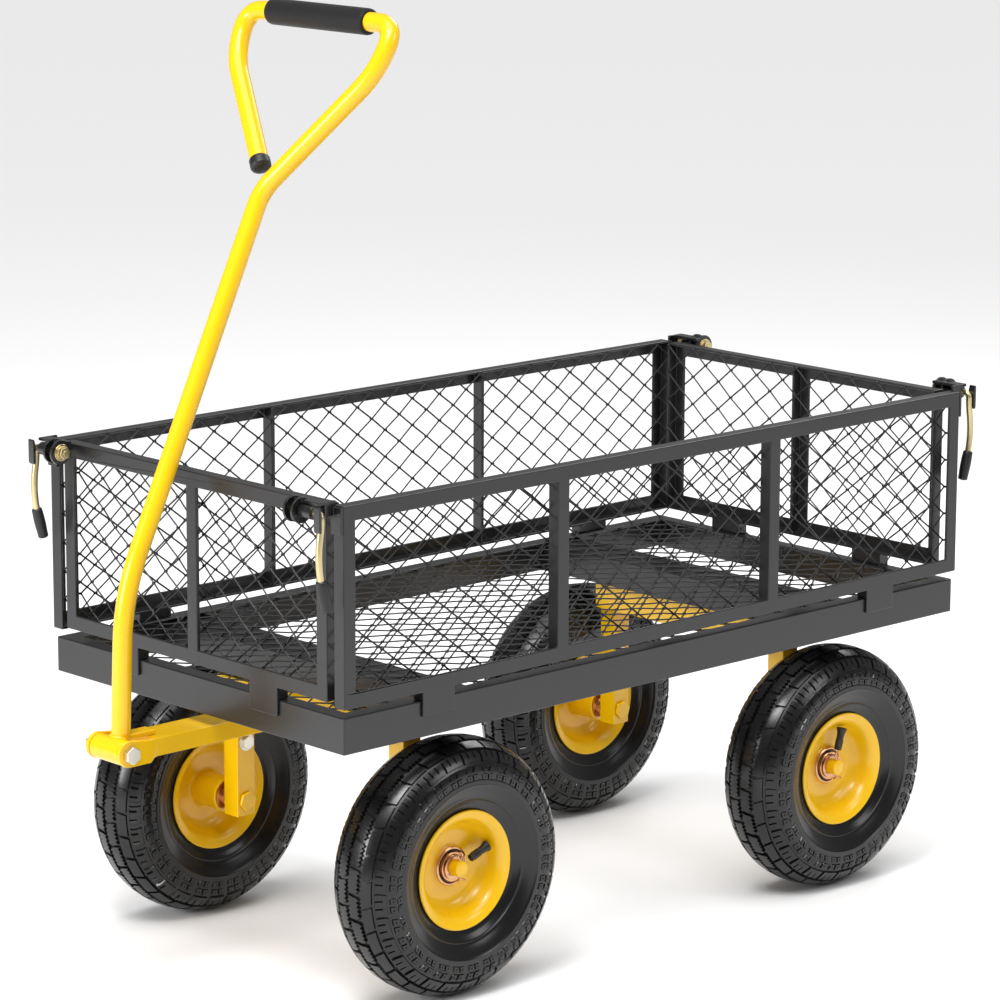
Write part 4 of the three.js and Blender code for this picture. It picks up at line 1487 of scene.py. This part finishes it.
    def pitch_mesh(self) -> bpy.types.Mesh:
        """Makes one pitch of the tyre, wide from bead to bead and closed behind the beads.

        Returns:
            A strip that meets its own copy one pitch further round.
        """
        across = self.lines_round() + [self.pitch]
        half = self.lines_out()
        out = [(-p, saw) for p, saw in reversed(half)] + half
        shift = self.pitch / 2
        tooth = self.pitch / (2 * self.teeth)
        points = []
        for round_mm in across:
            phase = (round_mm / tooth) % 2
            swing = (1 - 2 * phase if phase < 1 else 2 * phase - 3) * self.saw
            for place, saw in out:
                local = round_mm if place > 0 else (round_mm + shift) % self.pitch
                rise = self.height(local % self.pitch, abs(place))
                radius, offset, up, side = self.at(place + (swing if saw else 0))
                radius, offset = radius + up * rise, offset + side * rise
                fade = min(1.0, max(0.0, (self.lean_to - abs(place)) / self.lean_fade))
                lean = self.sway * math.sin(abs(place) / self.wave) * fade
                turn = (round_mm + lean) / self.pitch * 2 * math.pi / self.blocks
                points.append((offset, radius * math.cos(turn), radius * math.sin(turn)))
            radius, offset = self.bead
            turn = round_mm / self.pitch * 2 * math.pi / self.blocks
            for back in (offset, -offset):
                points.append((back, radius * math.cos(turn), radius * math.sin(turn)))
        count = len(out) + 2
        faces = []
        for i in range(len(across) - 1):
            for j in range(count):
                k = (j + 1) % count
                faces.append((i * count + j, i * count + k, (i + 1) * count + k, (i + 1) * count + j))
        return mesh_from("tread_pitch", np.array(points) * MM, faces)


@dataclass
class Wheel:
    """One wheel: a treaded air tyre on a yellow pressed rim, its hub, bushes, valve and axle end.

    Attributes:
        corner: such as "front_right".
        tyre: the shared tyre mesh, round the X axis at the origin, its outboard side towards +X.
        sides: the corners of a full turn of the rim.
        hub_mm: the radius of the hub's tube.
        inboard_mm: how far the hub reaches inboard of the wheel's middle.
        outboard_mm: how far it reaches outboard.
        axle_mm: how far the axle reaches outboard.
        bore_mm: the radius of the hub's bore.
        leg_mm: the leg's outboard and inboard faces, from the wheel's middle.
        dish: radius and offset of the rim's outer skin.
    """

    corner: str
    tyre: bpy.types.Mesh
    sides: int = 96
    hub_mm: float = 18.0
    inboard_mm: float = 42.0
    outboard_mm: float = 6.0
    axle_mm: float = 23.0
    bore_mm: float = 13.3
    leg_mm: tuple[float, float] = (-49.7, -71.7)
    dish: tuple[tuple[float, float], ...] = (
        (18.6, 4.6), (19.6, 3.5), (21.5, 3.0), (26.0, 2.8), (30.6, 2.8), (33.0, 3.0), (35.4, 3.5),
        (37.6, 4.4), (39.8, 5.8), (41.8, 7.7), (43.6, 10.2), (45.1, 13.2), (46.4, 16.6), (47.8, 20.0),
        (49.4, 23.0), (51.8, 25.2), (54.6, 26.4), (57.0, 27.2), (58.6, 27.9), (59.6, 27.6), (60.0, 26.6),
        (59.6, 25.7), (58.4, 25.3), (55.0, 24.6), (52.0, 22.0),
    )

    def __post_init__(self) -> None:
        """Finds the wheel's hand, middle and body."""
        self.hand = 1 if self.corner.endswith("right") else -1
        self.centre = middle_of("tyre_" + self.corner)
        self.body = BODY_OF["tyre_" + self.corner]

    def build(self) -> list[bpy.types.Object]:
        """Builds the wheel's pieces.

        Returns:
            The pieces.
        """
        return [self.casing(), self.rim(), *self.bushes(), self.valve(), *self.axle_end()]

    def turned(self, name: str, outline: Outline, sides: int = 0) -> bpy.types.Mesh:
        """Turns an outline about the wheel's axle.

        Args:
            name: the mesh's name.
            outline: (radius, distance outboard of the wheel's middle) corners, in millimetres.
            sides: how many steps make the full turn; 0 takes the wheel's own.

        Returns:
            The turned mesh.
        """
        return lathe(name, outline, tuple(self.centre), sides or self.sides, "x", self.hand)

    def own(self, name: str, mesh: bpy.types.Mesh, look: Look, kind: str = "") -> bpy.types.Object:
        """Places a mesh on the wheel's body.

        Args:
            name: the piece's name before the corner's.
            mesh: its mesh.
            look: its finish.
            kind: the CAD node that it replaces, before the corner's name.

        Returns:
            The new piece.
        """
        nodes = [kind + self.corner] if kind else []
        return place_piece(name + self.corner, mesh, self.body, look, nodes)

    def casing(self) -> bpy.types.Object:
        """Places the shared tyre mesh.

        Returns:
            The tyre.
        """
        mesh = self.tyre.copy()
        if self.hand < 0:
            mesh.transform(Matrix.Rotation(math.pi, 4, "Z"))
        mesh.transform(Matrix.Translation(self.centre))
        return self.own("air_tyre_", mesh, Look.TYRE_RUBBER, "tyre_")

    def rim(self) -> bpy.types.Object:
        """Turns the pressed rim: a dish on each side and the hub's tube through both.

        Returns:
            The rim.
        """
        bore, hub, out, back = self.bore_mm, self.hub_mm, self.outboard_mm, self.inboard_mm
        outline = [(bore, out), (hub - 0.8, out), (hub, out - 0.8), *self.dish]
        outline += [(r, -a) for r, a in reversed(self.dish)]
        outline += [(hub, -8.0), (hub, 0.8 - back), (hub - 0.8, -back), (bore, -back)]
        mesh = self.turned("pressed_rim_" + self.corner, outline)
        return self.own("pressed_rim_", mesh, Look.YELLOW_PAINT, "rim_")

    def bushes(self) -> list[bpy.types.Object]:
        """Turns the flanged bushes, and a black ring of painted shade set low in the groove of the outboard
        one.

        Returns:
            The bushes and the ring of painted shade.
        """
        edge = self.outboard_mm + 0.3
        face = [
            (19.2, edge), (19.7, edge + 0.5), (19.6, edge + 1.5), (18.8, edge + 2.1),
            (17.6, edge + 2.1), (16.8, edge + 1.4), (16.3, edge + 0.3), (14.6, edge + 0.3),
            (14.1, edge + 1.5), (13.2, edge + 2.0), (8.5, edge + 2.0),
        ]
        back = -self.inboard_mm - 0.3
        rear = [(8.5, back - 2.0), (13.2, back - 2.0), (16.5, back - 1.5), (16.5, back), (13.0, back)]
        bush = self.turned("flanged_bush_" + self.corner, [(13.0, edge)] + face + rear)
        # A black ring low in the outboard bush's face groove: painted shade that darkens the groove.
        groove_fill = [(14.4, edge + 0.2), (16.5, edge + 0.2), (16.3, edge + 0.9), (14.6, edge + 0.9)]
        groove_shade = self.turned("bush_groove_shade_" + self.corner, groove_fill)
        return [
            self.own("flanged_bush_", bush, Look.WARM_ZINC, "hub_bearing_"),
            self.own("bush_groove_shade_", groove_shade, Look.BLACK_RUBBER),
        ]

    def valve(self) -> bpy.types.Object:
        """Makes the valve: a rubber foot, a tapered stem and a ribbed cap that points towards the hub.

        Returns:
            The valve.
        """
        low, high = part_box("valve_" + self.corner)
        middle = (low + high) / 2
        towards = (Vector((middle.x, self.centre.y, self.centre.z)) - middle).normalized()
        half = 11.5 * MM
        foot = middle - towards * half
        ribs = [(0.52 + 0.04 * i, 3.9 if i % 2 else 4.3) for i in range(10)]
        outline = [(0.0, 5.6), (0.06, 5.4), (0.16, 4.6), (0.24, 4.1), (0.5, 3.7), *ribs, (1.0, 3.8)]
        shares, radii = zip(*outline)
        steps = [foot + towards * (2 * half * i / 75) for i in range(76)]

        def width(share: float) -> float:
            """Looks up the valve's radius.

            Args:
                share: the share of its length.

            Returns:
                The radius in metres.
            """
            return float(np.interp(share, shares, radii)) * MM

        mesh = rod("air_valve_" + self.corner, steps, width, 24, 0.8 * MM)
        return self.own("air_valve_", mesh, Look.BLACK_RUBBER, "valve_")

    def axle_end(self) -> list[bpy.types.Object]:
        """Makes the axle with its painted head and end, the spacer, the washers and the cotter pin.

        Returns:
            The painted axle and its plated fittings.
        """
        node = "axle_" + self.corner
        body = BODY_OF[node]
        end, (leg_outer, leg_inner) = self.axle_mm, self.leg_mm
        near, shaft_mm = self.outboard_mm + 2.7, 8.0
        shaft_outline = [
            (0.0, leg_inner - 3), (shaft_mm, leg_inner - 3), (shaft_mm, end - 1.2), (7.6, end - 0.4),
            (6.8, end), (0.0, end),
        ]
        shaft = self.turned("axle_shaft_" + self.corner, shaft_outline, 48)
        span = sorted(self.centre.x / MM + self.hand * a for a in (leg_inner - 4.3, leg_inner - 0.3))
        head = prism("head", ngon((self.centre.y / MM, self.centre.z / MM), 10.5, 6, 12), *span, "x", 1.2)
        painted = merged([shaft, head], "axle_shaft_" + self.corner)
        spacer = [(8.2, leg_outer + 0.3), (11.5, leg_outer + 0.3), (11.5, -44.6), (8.2, -44.6)]
        washer = ((8.2, 0), (14.4, 0), (15, 0.4), (15, 1.4), (14.4, 1.9), (9, 1.9), (8.2, 1.5))
        thin = ((8.2, 2.1), (12.0, 2.1), (12.6, 2.5), (12.6, 3.3), (12.0, 3.7), (8.2, 3.7))
        plated = [
            self.turned("spacer", spacer, 48),
            self.turned("washer", [(r, near + a) for r, a in washer], 64),
            self.turned("thin_washer", [(r, near + a) for r, a in thin], 64),
            self.cotter(end - 3),
        ]
        return [
            place_piece("axle_shaft_" + self.corner, painted, body, Look.YELLOW_PAINT, [node]),
            place_piece("axle_washer_" + self.corner, merged(plated, "plated"), body, Look.WARM_ZINC),
        ]

    def cotter(self, out_mm: float) -> bpy.types.Mesh:
        """Bends a split pin through the axle: a loop above, two spread legs below.

        Args:
            out_mm: where it crosses the axle, outboard of the wheel's middle.

        Returns:
            The pin's mesh.
        """
        x = self.centre.x + self.hand * out_mm * MM
        y, z = self.centre.y, self.centre.z

        def spot(side: float, up: float, out: float = 0.0) -> Vector:
            """Gives a place near the pin.

            Args:
                side: millimetres along the cart from the pin.
                up: millimetres above the axle.
                out: millimetres outboard of the pin.

            Returns:
                The place in metres.
            """
            return Vector((x + self.hand * out * MM, y + side * MM, z + up * MM))

        turns = np.linspace(0.35, 2 * math.pi - 0.35, 28)
        loop = [(2.9 * math.sin(a), 13.0 - 3.2 * math.cos(a)) for a in turns]
        places = [(5.2, -12.2, 1.4), (3.4, -11.2, 0.8), (1.0, -9.6), (0.75, 0.0), (0.75, 9.0), *loop]
        places += [(-0.75, 9.0), (-0.75, 0.0), (-1.0, -9.6), (-4.2, -11.0, 0.8), (-6.4, -10.6, 1.6)]
        route = [spot(*place) for place in places]
        return rod("cotter", route, 0.95 * MM, 12)


@dataclass
class Tongue:
    """The clevis tongue in front of the steered axle, its weld, and the pivot bolt.

    Attributes:
        edge_mm: the rounding of its edges.
        seam_half_mm: half the length of the weld behind it.
        seam_z_mm: the height of the weld.
    """

    edge_mm: float = 0.9
    seam_half_mm: float = 19.5
    seam_z_mm: float = 263.5

    def build(self) -> list[bpy.types.Object]:
        """Builds the tongue's pieces.

        Returns:
            The pieces.
        """
        pieces = [coated_node("tongue", Look.YELLOW_PAINT, self.edge_mm)]
        pieces += [coated_node(node, Look.BRIGHT_ZINC, 0.8) for node in ("pivot_bolt", "pivot_nut")]
        seam_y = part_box("tongue")[1].y / MM
        ends = [(x, seam_y, self.seam_z_mm) for x in (-self.seam_half_mm, self.seam_half_mm)]
        bead = weld_bead("tongue_weld", ends, 2.0)
        pieces.append(place_piece("tongue_weld", bead, "steering", Look.YELLOW_PAINT))
        return pieces


@dataclass
class PullHandle:
    """The bent tube with its hand loop, the sleeve that it turns on, the foam grip and the end plug.

    Attributes:
        tube_mm: the tube's radius.
        sleeve_mm: the radius of the cross sleeve.
        sleeve_length_mm: its length.
        heel_mm: how far the tube stands behind the pivot.
        lower_mm: the length of the straight shaft up to the first bend.
        lower_lean: its lean from upright, in degrees.
        upper_mm: the length of the leaning shaft.
        upper_lean: its lean.
        loop_half_mm: half the width of the loop.
        shoulder_mm: the height of the loop's shoulders above its foot.
        loop_mm: the height of the loop's top.
        tip_mm: the open end's place across and up the loop.
        grip_mm: the grip's radius.
        grip_length_mm: its length.
        lug_z_mm: the height of the stop lug's underside.
        lug_reach_mm: how far the lug reaches behind the tongue's front.
    """

    tube_mm: float = 9.5
    sleeve_mm: float = 12.3
    sleeve_length_mm: float = 43.0
    heel_mm: float = 9.5
    lower_mm: float = 148.0
    lower_lean: float = 2.3
    upper_mm: float = 413.0
    upper_lean: float = 25.2
    loop_half_mm: float = 104.0
    shoulder_mm: float = 130.0
    loop_mm: float = 180.0
    tip_mm: tuple[float, float] = (-18.0, 30.0)
    grip_mm: float = 13.0
    grip_length_mm: float = 144.0
    lug_z_mm: float = 263.8
    lug_reach_mm: float = 59.0

    def __post_init__(self) -> None:
        """Finds the pivot and the loop's own frame."""
        self.pivot = middle_of("pivot_bolt") / MM
        self.pivot.x = 0.0
        low, up = math.radians(self.lower_lean), math.radians(self.upper_lean)
        self.heel = self.pivot + Vector((0, self.heel_mm, 0))
        self.bend = self.heel + Vector((0, math.sin(low), math.cos(low))) * self.lower_mm
        self.up = Vector((0, math.sin(up), math.cos(up)))
        self.foot = self.bend + self.up * self.upper_mm

    def in_loop(self, across: float, up: float) -> Vector:
        """Finds a place in the loop's plane.

        Args:
            across: millimetres across the cart.
            up: millimetres up the shaft's line from the loop's foot.

        Returns:
            The place in millimetres.
        """
        return self.foot + self.up * up + Vector((across, 0, 0))

    def build(self) -> list[bpy.types.Object]:
        """Builds the handle's pieces.

        Returns:
            The pieces.
        """
        tube = merged([self.tube(), self.sleeve(), self.weld()], "bent_tube")
        painted = place_piece("bent_tube", tube, "handle", Look.YELLOW_PAINT, ["handle_tube"])
        return [painted, self.grip(), self.plug()]

    def tube(self) -> bpy.types.Mesh:
        """Bends the tube from the sleeve up the shaft and round the loop.

        Returns:
            The tube.
        """
        half = self.loop_half_mm
        corners = [
            self.heel + Vector((0, 0, self.sleeve_mm / 2)),
            self.bend,
            self.foot,
            self.in_loop(half, self.shoulder_mm),
            self.in_loop(half + 6, self.loop_mm),
            self.in_loop(-half - 6, self.loop_mm),
            self.in_loop(-half, self.shoulder_mm),
            self.in_loop(*self.tip_mm),
        ]
        route = rounded_route([tuple(c) for c in corners], [45, 18, 24, 26, 26, 24], 14)
        return rod("tube", [p * MM for p in route], self.tube_mm * MM, 40)

    def sleeve(self) -> bpy.types.Mesh:
        """Turns the cross sleeve and adds the stop lug behind it.

        Returns:
            The sleeve with its lug.
        """
        half, bore = self.sleeve_length_mm / 2, 5.4
        outline = [(bore, half), (self.sleeve_mm - 1, half), (self.sleeve_mm, half - 1)]
        outline += [(r, -a) for r, a in reversed(outline)]
        sleeve = lathe("sleeve", outline, tuple(self.pivot * MM), 64)
        low, high = self.heel.y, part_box("tongue")[0].y / MM + self.lug_reach_mm
        lug_outline = [(-8, low), (8, low), (8, high), (-8, high)]
        lug = prism("lug", lug_outline, self.lug_z_mm, self.lug_z_mm + 5, "z", 1.0)
        return merged([sleeve, lug], "sleeve")

    def weld(self) -> bpy.types.Mesh:
        """Lays the weld round the tube's foot on the sleeve.

        Returns:
            The bead.
        """
        ring, steps, reach = [], 48, self.tube_mm + 0.4
        for i in range(steps + 1):
            turn = 2 * math.pi * i / steps
            y = self.heel_mm + reach * math.sin(turn)
            drop = math.sqrt(max(0.0, (self.sleeve_mm + 0.3) ** 2 - min(y, self.sleeve_mm) ** 2))
            ring.append(self.pivot + Vector((reach * math.cos(turn), y, max(drop, 3.0))))
        return rod("weld", [p * MM for p in ring], 1.5 * MM, 8)

    def grip(self) -> bpy.types.Object:
        """Makes the foam grip: full in the middle, with rounded ends.

        Returns:
            The grip.
        """
        half = self.grip_length_mm / 2
        top = self.in_loop(0, self.loop_mm)
        bore = self.tube_mm + 0.2
        full = self.grip_mm
        outline = [(bore, half), (bore + 1.4, half)]
        outline += [(full - 1.1, half - 0.5), (full - 0.3, half - 1.6), (full, half - 3.2)]
        outline += [(r, -a) for r, a in reversed(outline)]
        mesh = lathe("foam_grip", outline, tuple(top * MM), 72)
        piece = place_piece("foam_grip", mesh, "handle", Look.GRIP_FOAM, ["handle_grip"])
        return piece

    def plug(self) -> bpy.types.Object:
        """Makes the domed plug over the tube's open end.

        Returns:
            The plug.
        """
        end = self.in_loop(*self.tip_mm)
        away = (end - self.in_loop(-self.loop_half_mm, self.shoulder_mm)).normalized()
        route = [(end + away * (0.3 + 8.0 * i / 6)) * MM for i in range(7)]
        mesh = rod("end_plug", route, (self.tube_mm + 0.9) * MM, 40, dome=3.6 * MM)
        return place_piece("end_plug", mesh, "handle", Look.BLACK_RUBBER, ["handle_end_cap"])


def looking_from(turn: float, rise: float) -> Vector:
    """Points from the middle towards a viewer or a lamp.

    Args:
        turn: the turn about +Z from -Y towards +X, in radians.
        rise: the height above the horizon, in radians.

    Returns:
        The direction, one long.
    """
    return Vector((math.sin(turn) * math.cos(rise), -math.cos(turn) * math.cos(rise), math.sin(rise)))


@dataclass
class Studio:
    """A pale floor, soft lamps and the camera.

    Attributes:
        target: what the camera looks at, in millimetres.
        azimuth: the camera's turn about +Z from -Y towards +X, in degrees.
        elevation: its height above the horizon, in degrees.
        distance: how far it stands from the target, in millimetres.
        lens: its focal length, in millimetres.
        roll: its turn about the line of sight, in degrees.
        lamps: each softbox's name, turn from the camera, rise, distance, width and power.
    """

    target: Point = (-27.8, 39.2, 419.3)
    azimuth: float = 46.8
    elevation: float = 12.0
    distance: float = 4383.0
    lens: float = 151.7
    roll: float = 0.2
    lamps: tuple[tuple, ...] = (
        ("key_softbox", -56, 14, 2.8, 0.9, 37.0),
        ("high_softbox", -20, 56, 2.8, 0.8, 34.0),
        ("side_softbox", 66, 34, 3.0, 1.0, 14.0),
        ("back_softbox", 150, 44, 3.0, 1.4, 32.0),
    )

    def build(self) -> None:
        """Sets the floor, the lamps, the sky and the camera."""
        self.floor()
        self.sky()
        for name, turn, rise, reach, size, power in self.lamps:
            from_front = math.radians(self.azimuth) + math.radians(turn)
            self.lamp(name, from_front, math.radians(rise), reach, size, power)
        self.overhead()
        self.camera()

    def overhead(self) -> None:
        """Spreads even light from a wide diffuser overhead, so that the floor is pale out to its edge."""
        light = bpy.data.lights.new("overhead_diffuser", "SUN")
        light.energy, light.angle = 2.2, math.radians(60)
        lamp = bpy.data.objects.new("overhead_diffuser", light)
        lamp.rotation_euler = (math.radians(14), math.radians(10), 0)
        bpy.context.scene.collection.objects.link(lamp)

    def lamp(self, name: str, turn: float, rise: float, reach: float, size: float, power: float) -> None:
        """Hangs a square softbox that faces the cart.

        Args:
            name: the lamp's name.
            turn: its turn about +Z from -Y, in radians.
            rise: its height above the horizon, in radians.
            reach: its distance in metres.
            size: its width in metres.
            power: its power in watts.
        """
        light = bpy.data.lights.new(name, "AREA")
        light.shape, light.size, light.energy = "SQUARE", size, power
        lamp = bpy.data.objects.new(name, light)
        bpy.context.scene.collection.objects.link(lamp)
        back = looking_from(turn, rise)
        lamp.location = Vector((0, 0, 0.3)) + back * reach
        lamp.rotation_euler = (-back).to_track_quat("-Z", "Y").to_euler()

    def floor(self) -> None:
        """Lays the pale floor."""
        reach = 30.0
        corners = [(-reach, -reach, 0), (reach, -reach, 0), (reach, reach, 0), (-reach, reach, 0)]
        mesh = mesh_from("floor", np.array(corners), [(0, 1, 2, 3)])
        stuff = bpy.data.materials.new("matt_white_paper")
        stuff.use_nodes = True
        shader = stuff.node_tree.nodes["Principled BSDF"]
        shader.inputs["Base Color"].default_value = linear("#F4F4F4")
        shader.inputs["Roughness"].default_value = 0.9
        mesh.materials.append(stuff)
        loose_object("floor", mesh)

    def sky(self) -> None:
        """Surrounds the scene with even white light."""
        world = bpy.data.worlds.new("white_studio")
        world.use_nodes = True
        background = world.node_tree.nodes["Background"]
        background.inputs["Color"].default_value = linear("#FFFFFF")
        background.inputs["Strength"].default_value = 0.26
        bpy.context.scene.world = world
        bpy.context.scene.view_settings.view_transform = "Standard"

    def camera(self) -> None:
        """Stands the camera at its viewing angle."""
        data = bpy.data.cameras.new("camera")
        data.lens, data.sensor_width = self.lens, 36.0
        data.clip_start, data.clip_end = 0.05, 200.0
        camera = bpy.data.objects.new("camera", data)
        bpy.context.scene.collection.objects.link(camera)
        turn, rise = math.radians(self.azimuth), math.radians(self.elevation)
        back = looking_from(turn, rise)
        camera.location = (Vector(self.target) + back * self.distance) * MM
        facing = (-back).to_track_quat("-Z", "Y").to_matrix().to_4x4()
        camera.rotation_euler = (facing @ Matrix.Rotation(math.radians(self.roll), 4, "Z")).to_euler()
        bpy.context.scene.camera = camera


def main() -> None:
    """Builds the cart from its sub-assemblies, in order."""
    logging.basicConfig(level=logging.INFO, format="%(name)s: %(message)s")
    Studio().build()
    expanded = diamond_mesh_tree()
    tread = Tread()
    ring = {"Count": tread.blocks, "Weld Distance": 0.02 * MM}
    tyre = grown_mesh("air_tyre", ring_tree(), ring, tread.pitch_mesh())
    cleaned(tyre, 38)
    corners = [f"{end}_{side}" for end in ENDS for side in ("left", "right")]
    assemblies: list = [Deck(expanded)]
    assemblies += [AxleFrame(end) for end in ENDS]
    assemblies += [Wheel(corner, tyre) for corner in corners]
    assemblies += [Tongue(), PullHandle()]
    assemblies += [SidePanel(side, expanded) for side in ("left", "right", "front", "rear")]
    assemblies += [CornerLatch(corner) for corner in corners]
    for assembly in assemblies:
        for piece in assembly.build():
            LOG.info("%s: %s, %d faces", type(assembly).__name__, piece.name, len(piece.data.polygons))


if __name__ == "__main__":
    main()
